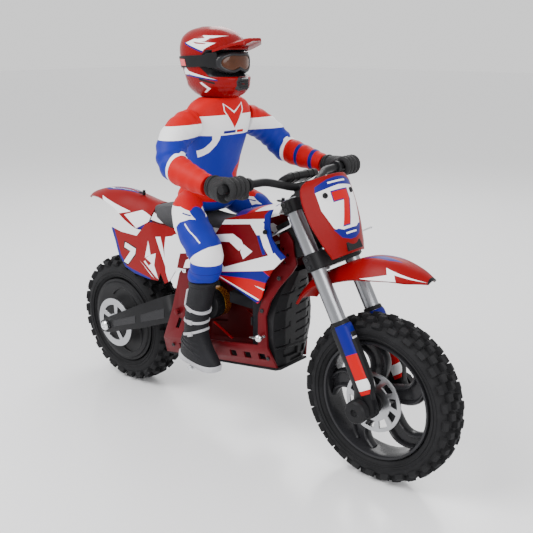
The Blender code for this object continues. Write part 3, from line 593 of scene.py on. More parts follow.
def front_wheel():
    centre = FRONT
    tyre("front_tyre", FRONT_RADIUS, 17.0, 57.9, 28, "front_wheel", centre)
    profile = [(57.4, -12.5), (56.6, -13.6), (54.6, -13.2), (53.6, -11.0), (53.2, -4.0), (53.2, 4.0),
               (53.6, 11.0), (54.6, 13.2), (56.6, 13.6), (57.4, 12.5)]
    bm = lathe(profile, 120)
    lathe([(3.4, -12.2), (8.0, -12.2), (10.0, -10.5), (14.5, -7.5), (14.5, 7.5), (10.0, 10.5),
           (8.0, 12.2), (3.4, 12.2)], 60, bm)
    for k in range(5):
        base = tau * k / 5 + 0.62
        arc = []
        for step in range(15):
            t = step / 14
            reach = 12.5 + (54.0 - 12.5) * t
            turn = base + 0.62 * (t - 0.5) ** 2 * 2.0 - 0.25
            arc.append((t, reach, turn, (5.6 + 3.6 * t) / reach))
        for edge in (-1, 1):
            path = []
            for _, reach, turn, half in arc:
                path.append((reach * cos(turn + edge * half), 0, reach * sin(turn + edge * half)))
            sweep(path, [(6.2 - 0.8 * t, 2.3 + 0.3 * t) for t, *_ in arc], 12, bm, first=(0, 1, 0))
        web = []
        for _, reach, turn, half in arc:
            ring = []
            for across, deep in ((-half, -1.6), (half, -1.6), (half, 1.6), (-half, 1.6)):
                angle = turn + across
                ring.append(Vector((reach * cos(angle), deep, reach * sin(angle))))
            web.append(ring)
        loft(web, bm)
    piece("front_rim", bm, "satin", "front_wheel", node="front_rim", at=centre,
          angle=50)
    holes = [circle((0, 0), 9.0, 32)]
    for k in range(10):
        window = []
        for reach, steps in ((25.6, range(7)), (18.4, range(6, -1, -1))):
            for step in steps:
                turn = tau * (k + 0.62 * step / 6) / 10 + 0.012 * (25.6 - reach)
                window.append((reach * cos(turn), reach * sin(turn)))
        holes.append(window)
    bm = prism(circle((0, 0), 29.4, 90), holes, -14.2, -12.4)
    piece("front_disc", bm, "disc", "front_wheel", node="front_disc", at=centre,
          bevel=0.2)
    bm = lathe([(3.4, -15.2), (9.6, -15.2), (10.6, -14.4), (10.6, -11.8), (3.4, -11.8)], 48)
    for k in range(5):
        turn = tau * k / 5
        prism(circle((7.4 * cos(turn), 7.4 * sin(turn)), 1.2, 12), [], -16.0, -15.1, bm=bm)
    piece("front_disc_carrier", bm, "black", "front_wheel", at=centre, bevel=0.3)
    bm = bmesh.new()
    for side in (-1, 1):
        low, high = sorted((side * 36.0, side * 45.0))
        tip = high if side > 0 else low
        root = low if side > 0 else high
        profile = [(0.4, root), (11.2, root), (11.2, tip - side * 2.4), (9.4, tip), (3.6, tip),
                   (3.0, tip - side * 2.0), (0.4, tip - side * 2.0)]
        lathe(profile, 12, bm)
    lathe([(0.3, -37.0), (3.0, -37.0), (3.0, 37.0), (0.3, 37.0)], 32, bm)
    piece("front_axle", bm, "black", "fork_lower", node="front_axle", at=centre,
          bevel=0.5)


def rear_wheel():
    centre = REAR
    tyre("rear_tyre", REAR_RADIUS, 20.0, 51.0, 26, "rear_wheel", centre)
    dish = [(3.4, -25.0), (8.6, -25.0), (9.0, -19.0), (12.0, -17.6), (30.0, -17.2), (40.0, -18.6),
            (44.0, -19.2), (46.5, -18.6), (47.5, -17.0), (50.4, -16.6), (50.4, 16.6), (47.5, 17.0),
            (45.8, 16.0), (45.8, -13.0), (9.0, -13.0), (9.0, -11.0), (3.4, -11.0)]
    bm = lathe(dish, 96)
    for k in range(3):
        base = tau * k / 3 + 0.5
        path = []
        for step in range(17):
            turn = base + 1.5 * step / 16
            reach = 33.5 + 8.5 * sin(pi * step / 16)
            path.append((reach * cos(turn), -18.2, reach * sin(turn)))
        sweep(path, 1.2, 10, bm)
    piece("rear_rim", bm, "black", "rear_wheel", node="rear_rim", at=centre,
          angle=40)
    holes = [circle((0, 0), 3.4, 24)]
    for k in range(5):
        base = tau * k / 5 + 0.2
        window = []
        for step in range(9):
            turn = base + 0.14 + 0.95 * step / 8
            window.append((21.5 * cos(turn), 21.5 * sin(turn)))
        for step in range(5):
            turn = base + 0.24 + 0.75 * (4 - step) / 4 - 0.12
            window.append((10.5 * cos(turn), 10.5 * sin(turn)))
        holes.append(window)
    bm = prism(circle((0, 0), 29.5, 90), holes, -29.0, -27.2)
    piece("rear_disc", bm, "disc", "rear_wheel", node="rear_disc", at=centre, bevel=0.25)
    bm = lathe([(3.4, -27.4), (9.0, -27.4), (9.0, -25.3), (3.4, -25.3)], 40)
    piece("rear_disc_hub", bm, "black", "rear_wheel", at=centre, bevel=0.2)
    teeth = []
    count = 42
    for k in range(count):
        for share, reach in ((-0.28, 22.0), (-0.10, 23.9), (0.10, 23.9), (0.28, 22.0)):
            turn = tau * (k + share) / count
            teeth.append((reach * cos(turn), reach * sin(turn)))
    holes = [circle((0, 0), 3.4, 24), *ring_of_holes(16, 3.6, 20)]
    bm = prism(teeth, holes, 23.2, 25.2)
    lathe([(3.4, 17.4), (10.5, 17.4), (10.5, 23.4), (3.4, 23.4)], 40, bm)
    piece("rear_sprocket", bm, "steel", "rear_wheel", node="rear_sprocket", at=centre)
    dress_cad("gyro_flywheel", "steel_cad")
    bm = bmesh.new()
    lathe([(0.3, -43), (3.0, -43), (3.0, 43), (0.3, 43)], 32, bm)
    for side in (-1, 1):
        root, tip = side * 41.2, side * 46.0
        lathe([(0.4, root), (5.6, root), (5.6, tip - side * 1.4), (4.4, tip), (2.4, tip),
               (2.0, tip - side * 2.0), (0.4, tip - side * 2.0)], 28, bm)
    piece("rear_axle", bm, "chrome", "swing", node="rear_axle", at=centre)


front_wheel()
rear_wheel()


# Frame, drive and rear suspension.

def kept_parts():
    """CAD parts that keep their own shape and get a finish and softened edges."""
    finishes = {
        "chassis_plate_right": "anodised_cad", "chassis_plate_left": "anodised_cad",
        "skid_plate": "black_cad",
        "battery_pack": "electronics", "speed_controller": "electronics", "steering_servo": "black_cad",
        "headstock": "black_cad", "swingarm_bolt": "anodised_cad", "footpeg_right": "steel_cad",
        "footpeg_left": "steel_cad", "countershaft": "steel_cad", "motor_pinion": "steel_cad",
        "servo_horn": "white_cad", "drag_link": "steel_cad", "swingarm": "black_cad",
        "shock_body": "steel_cad",
        "shock_rod": "steel_cad",
    }
    for node, material in finishes.items():
        dress_cad(node, material, 0.0 if node == "drag_link" else 0.35)


def cover_relief(s, z):
    """How far the battery cover's moulded pattern stands out or in."""
    out = 0.0
    for k, level in enumerate((111, 120.5, 130, 139.5, 149, 158, 166, 174)):
        if z > 186:
            continue
        slant = level + 2.6 * s
        left, right = ((-0.95, -0.30), (0.02, 0.80))[k % 2]
        for low, high in ((left, right), (left + 1.0, right + 1.0)) if k % 2 == 0 else ((left, right),):
            inside = low < s < high
            if inside and abs(z - slant) < 0.75:
                out = -1.3
            if abs(s - high) < 0.035 and slant - 0.7 < z < slant + 4.4:
                out = -1.3
    if 105.5 < z + 2.0 * s < 107.5:
        out = 0.9
    if 96 < z + 1.5 * s < 103.5 and (-0.66 < s < 0.22 or 0.42 < s < 0.74):
        out = -2.4
    if 90.5 < z < 94 and -0.25 < s < 0.5:
        out = -1.8
    return out


def front_cover():
    rows = [(87.5, 250, 9, 22), (100, 251, 10, 25), (120, 252, 12, 29.6), (139, 252.5, 14, 29.8),
            (152, 253, 13, 27), (166, 255, 10, 22), (180, 259, 9, 15), (187, 261.5, 7, 12)]
    rings = []
    for step in range(133):
        z = 87.5 + 99.5 * step / 132
        k = 0
        while k < len(rows) - 2 and rows[k + 1][0] < z:
            k += 1
        share = ramp(z, rows[k][0], rows[k + 1][0])
        front, depth, wide = [rows[k][i] + (rows[k + 1][i] - rows[k][i]) * share for i in (1, 2, 3)]
        ring = []
        for spot in range(73):
            s = -1 + spot / 36
            back = 4.0 * ramp(abs(s), 0.55, 1.0)
            ring.append(Vector((front - back + cover_relief(s, z), wide * s, z)))
        ring.append(Vector((front - 4 - depth, wide, z)))
        ring.append(Vector((front - 4 - depth, -wide, z)))
        rings.append(ring)
    piece("front_cover", loft(rings), "black", "chassis", node="front_cover",
          angle=28)


def motor():
    spot = to_bike(middle("motor_pinion"))
    bm = lathe([(2.0, -17.0), (8.4, -17.0), (9.0, -16.4), (9.0, -14.2), (15.4, -14.2), (16.0, -13.4),
                (16.0, -2.4), (2.0, -2.4)], 64)
    for k in range(20):
        turn = tau * k / 20
        radial = Vector((cos(turn), 0, sin(turn)))
        round_ = Vector((-sin(turn), 0, cos(turn)))
        block(bm, radial * 15.7 + Vector((0, -8.2, 0)), (Y_AXIS, round_, radial), (9.0, 2.2, 1.2), 0.8)
    piece("motor", bm, "satin", "chassis", node="motor", at=(spot.x, 0, spot.z),
          angle=40)
    holes = [circle((0, 0), 2.4, 20), *ring_of_holes(11, 2.0, 14)]
    bm = prism(circle((0, 0), 16.0, 72), holes, -2.2, 7.3)
    piece("motor_end_bell", bm, "gold", "chassis", at=(spot.x, 0, spot.z), bevel=0.5)
    bm = lathe([(2.2, -17.9), (6.0, -17.9), (6.4, -17.2), (6.4, -16.8), (2.2, -16.8)], 32)
    piece("motor_bearing_cap", bm, "gold", "chassis", at=(spot.x, 0, spot.z))


def chain_points():
    """The pins, evenly along the belt line round both sprockets."""
    start, end = Vector((REAR.x, REAR.z)), Vector((PIVOT.x, PIVOT.z))
    line = end - start
    heading = atan2(line.y, line.x)
    big, small = 25.8, 11.8
    open_angle = acos((big - small) / line.length)
    path = []
    for centre, radius, first, sweep_angle in ((start, big, heading + open_angle, tau - 2 * open_angle),
                                               (end, small, heading - open_angle, 2 * open_angle)):
        for k in range(49):
            turn = first + sweep_angle * k / 48
            path.append(centre + radius * Vector((cos(turn), sin(turn))))
    path.append(path[0])
    lengths = [0.0]
    for a, b in zip(path, path[1:]):
        lengths.append(lengths[-1] + (b - a).length)
    count = 2 * round(lengths[-1] / CHAIN_PITCH / 2)
    result = []
    k = 0
    for step in range(count):
        want = lengths[-1] * step / count
        while lengths[k + 1] < want:
            k += 1
        share = (want - lengths[k]) / (lengths[k + 1] - lengths[k])
        result.append(path[k] + (path[k + 1] - path[k]) * share)
    return result


def chain():
    pins = chain_points()
    bm = bmesh.new()
    for k, pin in enumerate(pins):
        roller = lathe([(0.3, 22.4), (1.1, 22.4), (1.1, 23.0), (1.5, 23.0), (1.5, 25.4), (1.1, 25.4),
                        (1.1, 26.0), (0.3, 26.0)], 10)
        roller.transform(Matrix.Translation((pin.x, 0, pin.y)))
        merge(bm, roller)
        ahead = pins[(k + 1) % len(pins)]
        along = (ahead - pin).normalized()
        across = Vector((-along.y, along.x))
        outline = []
        for centre, start in ((ahead, -1), (pin, 1)):
            for step in range(7):
                turn = pi * (step / 6 - 0.5)
                reach = -start * cos(turn)
                lift = -start * sin(turn)
                outline.append(centre + along * reach * 1.9 + across * lift * 1.9)
        pair = ((22.95, 23.4), (25.0, 25.45)) if k % 2 else ((22.45, 22.9), (25.5, 25.95))
        for low, high in pair:
            rows = [[Vector((p.x, y, p.y)) for p in outline] for y in (low, high)]
            loft(rows, bm)
    piece("chain", bm, "steel", "swing", node="chain", angle=40)


def shock_spring():
    """The coil between the shock's two seats."""
    top = to_bike(joint("shock_swing")["pos_m"])
    down = -Vector(joint("shock_travel")["axis"]).normalized()
    first, last = UPPER_SEAT, SHOCK_LENGTH - LOWER_SEAT
    across = Y_AXIS.cross(down)
    steps = COIL_TURNS * 28
    coil = []
    for k in range(steps + 1):
        turn = tau * k / 28
        spot = top + down * (first + (last - first) * k / steps)
        coil.append(spot + across * COIL_RADIUS * cos(turn) + Vector((0, COIL_RADIUS * sin(turn), 0)))
    thing = piece("shock_spring", sweep(coil, 0.85, 10), "spring", None, node="shock_spring",
                  angle=60, stay=True)
    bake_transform(thing)


def inner_tray():
    """The moulded tray wall behind the far side's open window."""
    outline = [(108, 72), (224, 78), (232, 120), (230, 166), (150, 166), (134, 140), (134, 96),
               (108, 90)]
    paint = finish_of("tray wall", DEEP_RED, 0.5, 0, 0, 0.9, 0.2, 0.06, 0.06)
    bm = prism(outline, [], 25.6, 26.6)
    piece("tray_wall", bm, paint, "chassis", bevel=0.3)


def hardware():
    for name, side in sides():
        face = 33.0
        screw(f"rear_plate_screw_{name}", (129.5, side * face, 168.5), (0, side, 0), 3.4, "chassis",
              "chrome", 2.4)
        screw(f"plate_screw_rear_{name}", (104.0, side * 30.4, 76.5), (0, side, -0.36), 2.0, "chassis",
              "satin", 1.4)
        screw(f"plate_screw_front_{name}", (240.6, side * 28.6, 97.0), (0, side, -0.36), 2.0,
              "chassis", "satin", 1.4)
        for k, (x, z) in enumerate(((253.0, 182.5), (236.5, 147.5), (158.0, 170.5))):
            depth = face if z < 150 else 32.4 - 8.6 * ramp(z, 160, 194) * ramp(x, 208, 236)
            screw(f"arm_screw_{k + 1}_{name}", (x, side * depth, z), (0, side, 0), 2.1, "chassis",
                  "satin", 1.6)
        bm = sweep([(239.5, side * 32.9, 121.6), (238.0, side * 37.0, 121.2)], 1.7, 14)
        bmesh.ops.create_uvsphere(bm, u_segments=24, v_segments=16, radius=4.0,
                                  matrix=Matrix.Translation((237.3, side * 39.0, 121.0)))
        sweep([(235.0, side * 38.4, 120.2), (229.0, side * 37.4, 118.8), (222.5, side * 36.4, 117.4)],
              [1.7, 1.3, 0.4], 12, bm)
        piece(f"ball_stud_{name}", bm, "chrome", "chassis")
        line = [(163.5, side * 26.0, 116.5), (176.0, side * 26.0, 111.0), (190.0, side * 26.0, 104.5)]
        bm = bmesh.new()
        sweep(line, [(1.6, 0.8)] * 3, 8, bm, (0, 1, 0))
        piece(f"tray_rail_{name}", bm, "red", "chassis", bevel=0.2)
        bm = bmesh.new()
        for low, high in ((0.10, 0.42), (0.50, 0.78)):
            rows = []
            for share in (low, high):
                x = PIVOT.x * share
                z = REAR.z + (PIVOT.z - REAR.z) * share
                face_y = 40.5 - 3.7 * ramp(x, 0, 60) - 6.6 * ramp(x, 60, 86)
                tall = 4.4 + 2.0 * share
                rows.append([Vector((x, side * (face_y - 0.6), z - tall)),
                             Vector((x, side * (face_y - 0.6), z + tall)),
                             Vector((x, side * (face_y + 0.5), z + tall - 1.2)),
                             Vector((x, side * (face_y + 0.5), z - tall + 1.2))])
            loft(rows, bm)
        piece(f"arm_rib_{name}", bm, "satin", "swing", bevel=0.3)
    bm = bmesh.new()
    block(bm, Vector((213.2, 0, 128.0)), (Y_AXIS, Z_AXIS, X_AXIS), (45, 9, 2.2))
    piece("battery_strap", bm, "black", "chassis", bevel=0.4)


kept_parts()
front_cover()
motor()
chain()
hardware()
shock_spring()
inner_tray()


# Printed graphics.

RIGHT_ONLY = (((0.0, -1.0, 0.0), 0.0),)
LEFT_ONLY = (((0.0, 1.0, 0.0), 0.0),)
RIDGE_ONLY = (((0.0, 0.0, 1.0), 221.0),)
FRONT_ONLY = (((1.0, 0.0, 0.0), 150.0),)


def seven(corner, across, up, thick):
    """A generic race number: a bar along the top and a slanting leg."""
    corner, across, up = Vector(corner), Vector(across), Vector(up)
    top = corner + up
    bar = [top, top + across, top + across - up * thick, top - up * thick]
    leg = [top + across, top + across - up * thick * 1.05, corner + across * 0.52,
           corner + across * 0.12, top + across * 0.60 - up * thick * 0.9]
    return [[tuple(p) for p in part] for part in (bar, leg)]


def side_graphics():
    """Stickers on the side panels, read on X and Z."""
    white_field = [(171, 223), (181, 229.5), (239, 238.8), (266, 207), (262, 196), (239, 188.8),
                   (186, 178)]
    layers = [
        (BRIGHT_RED, "xz", [(180, 181), (239, 190), (250, 184), (240, 152), (222, 157), (176, 171)]),
        (WHITE, "xz", white_field),
        (DEEP_RED, "xz", [(172, 223.5), (219, 230.8), (244.3, 204.7), (188.3, 183.2), (173, 200)]),
        (WHITE, "xz", [(175, 214), (197.6, 218.1), (193.4, 209.4), (176, 207)]),
        (WHITE, "xz", [(197.6, 218.1), (209.1, 213.6), (213.2, 207.7), (206.6, 202.6), (193.4, 209.4)]),
        (WHITE, "xz", [(212.5, 210), (224, 205), (212.9, 195.5), (208.4, 202.3)]),
        (BLUE, "xz", [(228, 221.5), (232, 222.3), (241, 205), (237, 203.8)]),
        (BLUE, "xz", [(250, 254), (240.6, 242.9), (235, 234.5), (243.8, 233), (252, 247)]),
        (BLUE, "xz", [(236.5, 242), (236.5, 229), (244.5, 229), (244.5, 250)]),
        (BLUE, "xz", [(236.5, 230), (244.5, 233), (258, 212.5), (250, 207.5)]),
        (BLUE, "xz", [(249, 210.5), (260, 202.5), (268, 208), (256, 215)]),
        (BLUE, "xz", [(180, 176), (239.1, 188.8), (224.3, 177.9), (184, 173.8)]),
        (BLUE, "xz", [(239.1, 188.8), (252, 182.9), (250, 177.6), (224.3, 177.9)]),
        (WHITE, "xz", [(176, 173.4), (184, 172.4), (235.5, 159.2), (233, 157.8)]),
        (BLUE, "xz", [(183.5, 171.0), (236, 157.2), (230, 155.0), (206, 163)]),
        (WHITE, "xz", [(228.6, 172.2), (234.6, 172), (246.5, 170.2), (245.7, 168.4)]),
        (WHITE, "xz", [(85.7, 197.2), (93.6, 198.5), (104.6, 162.7), (102.8, 163.2)]),
        (WHITE, "xz", [(101, 199.5), (116.5, 203.4), (127, 201), (121, 170), (112.4, 150), (106, 150),
                       (101.3, 160.5), (99.5, 187.7)]),
        (WHITE, "xz", [(112, 203), (116.5, 205), (150, 204), (160, 176), (112, 161)]),
        (DEEP_RED, "xz", [(124.4, 185.8), (158, 192.5), (163, 172), (119.6, 169.3)]),
        (WHITE, "xz", [(133.3, 180), (143, 186), (143, 172.9), (129.3, 171.2)]),
        (WHITE, "xz", [(72.3, 190.7), (76, 175.1), (65.4, 170)]),
        (WHITE, "xz", [(76, 175.1), (85.4, 178.8), (81.5, 164.1), (66.7, 169.9)]),
        (WHITE, "xz", [(79.9, 168.3), (88.3, 149.9), (70, 160.3)]),
        (WHITE, "xz", [(56.4, 164.7), (81.1, 149.4), (74.6, 152.0)]),
        (WHITE, "xz", [(62.6, 165.2), (65.7, 166.6), (86.3, 149.9)]),
        (BLUE, "xz", [(-2, 196), (9, 193), (19, 166), (8, 160)]),
        (BLUE, "xz", [(6, 168), (18.5, 166), (29.5, 154), (24, 148), (10, 155)]),
        (BLUE, "xz", [(24, 155), (48, 150.4), (48, 144), (22, 146)]),
        (BLUE, "xz", [(20, 154), (30, 153), (74, 148.2), (74, 144), (24, 144)]),
    ]
    for ink, grow in ((BLACK, 1.4), (WHITE, 0.0)):
        for only, corner, across in ((RIGHT_ONLY, (22 - grow, 158 - grow), (20 + 2 * grow, -4)),
                                     (LEFT_ONLY, (42 + grow, 154 - grow), (-20 - 2 * grow, 4))):
            for part in seven(corner, across, (7, 23 + 2 * grow), 0.27 + 0.05 * grow):
                layers.append((ink, "xz", part, only))
    return layers


def tail_graphics():
    """Stickers on the tail, with a swoosh along its ridge."""
    layers = [
        (WHITE, "xz", [(-24.7, 226.2), (28.7, 214.7), (7, 209.6), (-9.8, 213.3)]),
        (WHITE, "xz", [(-3, 212.4), (45.7, 190.5), (10.3, 186), (-10, 190.7)]),
        (BLUE, "xz", [(9.2, 190.2), (48, 191.2), (30, 184), (12, 184)]),
        (WHITE, "xz", [(20.4, 210.5), (44.2, 217.9), (68.5, 211.9), (42.8, 198.4)]),
        (BLUE, "xz", [(43.4, 198.2), (70, 211.6), (70, 205.5), (49.7, 197)]),
        (BLUE, "xy", [(-40, 2.0), (-22, 9.5), (8, 6.5), (30, 1.5)], RIDGE_ONLY),
        (WHITE, "xy", [(-30, 2.6), (-18, 6.0), (4, 4.4), (18, 2.4)], RIDGE_ONLY),
        (BLUE, "xy", [(-26, 2.6), (-14, 5.2), (6, 3.6), (14, 2.6)], RIDGE_ONLY),
    ]
    mirrored = []
    for ink, plane, outline, *extra in layers:
        mirrored.append((ink, plane, outline, *extra))
        if plane == "xy":
            mirrored.append((ink, plane, [(x, -y) for x, y in outline], *extra))
    return mirrored


def fender_graphics():
    return [
        (WHITE, "xz", [(363.6, 211.6), (400, 203.2), (372, 207.4)]),
        (WHITE, "xz", [(363.6, 211.6), (372.8, 207.8), (376.5, 201.9), (367.5, 206.0)]),
        (WHITE, "xz", [(341, 199.0), (369, 207.2), (376.5, 202.2)]),
        (BLUE, "xy", [(334, -6.2), (352, -1.2), (374, -4.4), (362, -8.0)]),
        (BLUE, "xy", [(334, 6.2), (352, 1.2), (374, 4.4), (362, 8.0)]),
        (BLACK, "xz", [(398.5, 212), (410, 210), (410, 196), (400.5, 198)]),
    ]


def plate_graphics():
    """The front number plate, read across (Y) and along the fork."""
    layers = [
        (WHITE, "yz", [(-27.5, 195.0), (-24, 199), (24, 199), (27.5, 195.0), (27, 178), (20, 160),
                       (16, 156), (-16, 156), (-20, 160), (-27, 178)]),
        (BLUE, "yz", [(-28, 194.4), (-26.5, 199.6), (-13, 203.2), (0, 204), (0, 196.4)]),
        (BLUE, "yz", [(28, 194.4), (26.5, 199.6), (13, 203.2), (0, 204), (0, 196.4)]),
        (BLUE, "yz", [(-20.5, 158.2), (20.5, 158.2), (13.5, 149.4), (4, 146), (-4, 146),
                      (-13.5, 149.4)]),
        (WHITE, "yz", [(-20.5, 160.5), (20.5, 160.5), (10, 155.8), (-10, 155.8)]),
        (WHITE, "yz", [(-8, 152.8), (8, 152.8), (8, 151.2), (-8, 151.2)]),
        (WHITE, "yz", [(-13, 200.6), (13, 200.6), (13, 199.0), (-13, 199.0)]),
    ]
    for grow, ink in ((1.2, BLUE), (0.0, BRIGHT_RED)):
        bar, leg = seven((-11.5 - grow, 159.5 - grow), (23 + 2 * grow, 0), (0, 31.5 + 2 * grow),
                         0.26 + 0.04 * grow)
        for part in (bar, leg):
            layers.append((ink, "yz", part))
    layers.append((BRIGHT_RED, "yz", [(-10.3, 188), (-10.3, 184), (-5.5, 184), (-5.5, 188)]))
    return layers


# Bodywork.

def panel_side(x, z):
    rear = 7.0 * (1 - ramp(x, 3, 95))
    top = 7.5 * ramp(z, 182, 248)
    return 35.6 - max(rear, top * ramp(x, 60, 110))


def side_panels():
    outline = [(3, 194), (8, 182), (15, 164), (27, 151.5), (45, 147.5), (70, 146.5), (87, 148),
               (92, 158), (99, 147), (107, 152), (116, 164), (146, 176), (178, 171), (206, 163.5),
               (222, 158), (233, 154.5), (238, 162), (243, 178), (252, 193), (265, 206.5), (256, 212),
               (247, 221), (243.5, 232), (243, 241), (246, 248.5), (222, 243), (186, 231), (172, 212),
               (150, 204), (103, 211), (78, 212), (69, 209), (51, 192), (20, 191.5)]
    bends = [((x, 0), (1, 0)) for x in range(12, 256, 8)]
    bends += [((0, z), (0, 1)) for z in range(154, 248, 8)]
    paint = sticker("side sticker", side_graphics())

    def stand(point):
        x, z = point.x, point.z
        swell = 0.7 * exp(-((z - 196 - (x - 170) * 0.10) / 3.0) ** 2)
        crease = 0.9 * ramp(x, 92, 97) * (1 - ramp(x, 97, 104)) * ramp(z, 150, 170)
        return panel_side(x, z) - 1.6 - 0.5 * swell - 0.6 * crease

    for name, side in sides():
        low, high = sorted((0.0, side * 1.6))
        bm = prism(outline, [], low, high, bends=bends, shift=lambda p, s=side: s * stand(p))
        piece(f"side_panel_{name}", bm, paint, "chassis", node=f"side_panel_{name}", bevel=0.4,
              angle=50)
        screw(f"panel_screw_front_{name}", (239.5, side * 31.5, 226.5), (0, side, 0.1), 2.3, "chassis",
              "black", 1.8)
        screw(f"panel_screw_low_{name}", (180, side * 35.4, 174.6), (0, side, 0), 2.1, "chassis",
              "chrome", 1.6)


def fenders():
    stations = curve_through([(-66, 219.5, 6, 2), (-52, 227, 13, 5), (-26, 233.5, 20, 11),
                              (5, 235, 23.5, 20),
                              (30, 231.5, 25, 28), (50, 228, 25, 30), (63, 226.5, 24, 22)], 6)
    paint = sticker("tail sticker", tail_graphics())
    bm = arched(stations, SHELL, 28)
    piece("rear_fender", bm, paint, "chassis", node="rear_fender", bevel=0.4, angle=50)
    stations = curve_through([(261, 159, 17.0, 5), (268, 172, 17.6, 7), (281, 186, 18.0, 9),
                              (298, 195.5, 18.2, 11), (312, 203, 18.6, 13), (330, 211.5, 22.5, 15.5),
                              (347, 216.5, 24, 17), (368, 216.8, 22.5, 15), (388, 211.5, 17, 10),
                              (402, 205, 7, 3)], 5)
    paint = sticker("front fender sticker", fender_graphics())
    bm = arched(stations, SHELL, 28)
    piece("front_fender", bm, paint, "steering", node="front_fender", bevel=0.4, angle=50)


def tank_graphics():
    return [
        (WHITE, "xy", [(214, -26), (250, -26), (250, 26), (214, 26)]),
        (BRIGHT_RED, "xy", [(196, -30), (207, -30), (222, 0), (207, 30), (196, 30)]),
        (BLUE, "xy", [(184, -30), (197, -30), (212, 0), (197, 30), (184, 30)]),
        (BLUE, "xy", [(236, -13), (238.5, -13), (238.5, -4), (236, -4)]),
    ]


def seat_and_covers():
    sections = curve_through([(64, 226, 15, 11), (80, 229, 18, 13), (105, 229.5, 18, 13),
                              (130, 227, 17, 12),
                              (155, 225.5, 16, 12), (178, 228, 16, 12), (196, 233, 15, 12)], 4)
    rings = []
    for x, top, wide, deep in sections:
        ring = []
        for k in range(24):
            turn = tau * k / 24
            a = flatten(cos(turn), 0.45)
            b = flatten(sin(turn), 0.45)
            ring.append(Vector((x, wide * a, top - deep / 2 + deep / 2 * b)))
        rings.append(ring)
    piece("seat", loft(rings), "seat", "chassis", node="seat", bevel=0.8, angle=60)
    paint = sticker("tank sticker", tank_graphics())
    stations = curve_through([(186, 236, 22, 9), (204, 241.5, 25, 10), (228, 247.5, 26, 10),
                              (247, 253, 24, 9)], 6)
    piece("tank_cover", arched(stations, 1.6, 24), paint, "chassis", node="tank_cover", bevel=0.4,
          angle=50)
    outline = [(74.5, 221), (78, 226), (84, 229.4), (97.6, 231), (113, 229), (113, 208), (99.5, 208),
               (87, 211), (77.5, 215.5)]
    for name, side in sides():
        low, high = sorted((side * 22.0, side * 25.6))
        bm = prism(outline, [], low, high,
                   bends=[((0, 224), (0, 1)), ((0, 217), (0, 1)), ((85, 0), (1, 0))],
                   shift=lambda p, s=side: -s * (3.4 * ramp(p.z, 217, 231) + 1.8 * ramp(p.x, 92, 74)))
        piece(f"seat_flap_{name}", bm, "seat", "chassis", bevel=1.0, segments=3)
    dress_cad("inner_mudguard", "black_cad", 0.3)
    for name, side in sides():
        spot = (243, side * 10, 251.5)
        body_clip(f"tank_clip_{name}", spot, (0.1, 0.0, 1.0))
    body_clip("tail_clip", (31, -1.5, 231.6), (0.1, 0.0, 1.0))


def body_clip(name, spot, out):
    """The post through the shell with its bent spring pin."""
    out = Vector(out).normalized()
    spot = Vector(spot)
    bm = sweep([spot - out * 1.5, spot + out * 5.0], 1.7, 14)
    loop = []
    for step in range(15):
        turn = tau * step / 14 + 0.9
        loop.append(spot + out * 2.6 + Vector((4.6 * cos(turn), 3.0 * sin(turn) - 2.6, 0)))
    sweep(loop, 0.6, 8, bm)
    piece(name, bm, "black", "chassis")


def number_plate():
    rings = []
    outline = [(134, 40, 25.5), (137, 40.6, 26.4), (142, 42, 29), (149, 43.6, 31.6), (156, 45, 34),
               (164, 46.1, 36.6), (172, 47, 38.5), (181, 48.1, 39.4), (190, 49, 39.5),
               (197, 49.8, 38.6), (202, 50.5, 37), (205.2, 50.8, 34), (207, 51, 30)]
    for along, centre, wide in outline:
        outer, inner = [], []
        for k in range(33):
            s = -1 + k / 16
            bow = 13.5 * (wide / 39) * abs(s) ** 2.0
            edge = 0.9 * ramp(abs(s), 0.70, 0.80) * ramp(along, 140, 150)
            outer.append(Vector((centre - bow - edge, wide * s, along)))
            inner.append(Vector((centre - bow - edge - 2.0, (wide - 1.0) * s, along)))
        rings.append(outer + list(reversed(inner)))
    bm = loft(rings)
    for vert in bm.verts:
        vert.co = fork(*vert.co)
    paint = sticker("number sticker", plate_graphics(), 0.40)
    piece("number_plate", bm, paint, "steering", node="number_plate", bevel=0.4, angle=50, rest=in_fork)
    for name, side in sides():
        screw(f"plate_screw_{name}", fork(45.5, side * 19.5, 189.5),
              AHEAD - Vector((0, -side * 0.35, 0)), 2.6,
              "steering", "black", 2.0)
    spot = fork(36.2, 20.5, 150.0)
    tip = Vector((spot.x - 14.0, 62.0, spot.z - 5.0))
    bm = sweep([spot + (tip - spot) * k / 4 for k in range(5)], 0.9, 10)
    bmesh.ops.create_uvsphere(bm, u_segments=14, v_segments=10, radius=1.3,
                              matrix=Matrix.Translation(tip))
    piece("wire_feeler", bm, "steel", "steering")
    bm = bmesh.new()
    block(bm, fork(40.6, 0, 140.0), (Y_AXIS, AHEAD, ALONG), (21, 2.2, 8.0))
    piece("plate_vent", bm, "black", "steering", bevel=0.3)


side_panels()
fenders()
seat_and_covers()
number_plate()


# Steering and fork.

def turned(bm):
    """Fork coordinates to the bike's."""
    for vert in bm.verts:
        vert.co = fork(*vert.co)
    return bm


def leg_graphics():
    layers = []
    for side in (-1, 1):
        low, high = sorted((side * 16.0, side * 38.0))
        band = [(BLUE, 48.0, 80.0), (BRIGHT_RED, 10.0, 48.0), (WHITE, 14.0, 24.0), (BLACK, -30.0, 10.0)]
        for ink, bottom, top in band:
            layers.append((ink, "yz", [(low, bottom - side * 2), (high, bottom + side * 2),
                                       (high, top + side * 2), (low, top - side * 2)]))
        layers.append((WHITE, "yz", [(side * 22, 66), (side * 30, 66), (side * 30, 56),
                                     (side * 24, 56)]))
        layers.append((WHITE, "yz", [(side * 24, 56), (side * 31, 56), (side * 28, 44)]))
    layers.append((CHARCOAL, "xz", [(-20, -40), (9.5, -40), (12, 80), (-20, 80)]))
    return layers


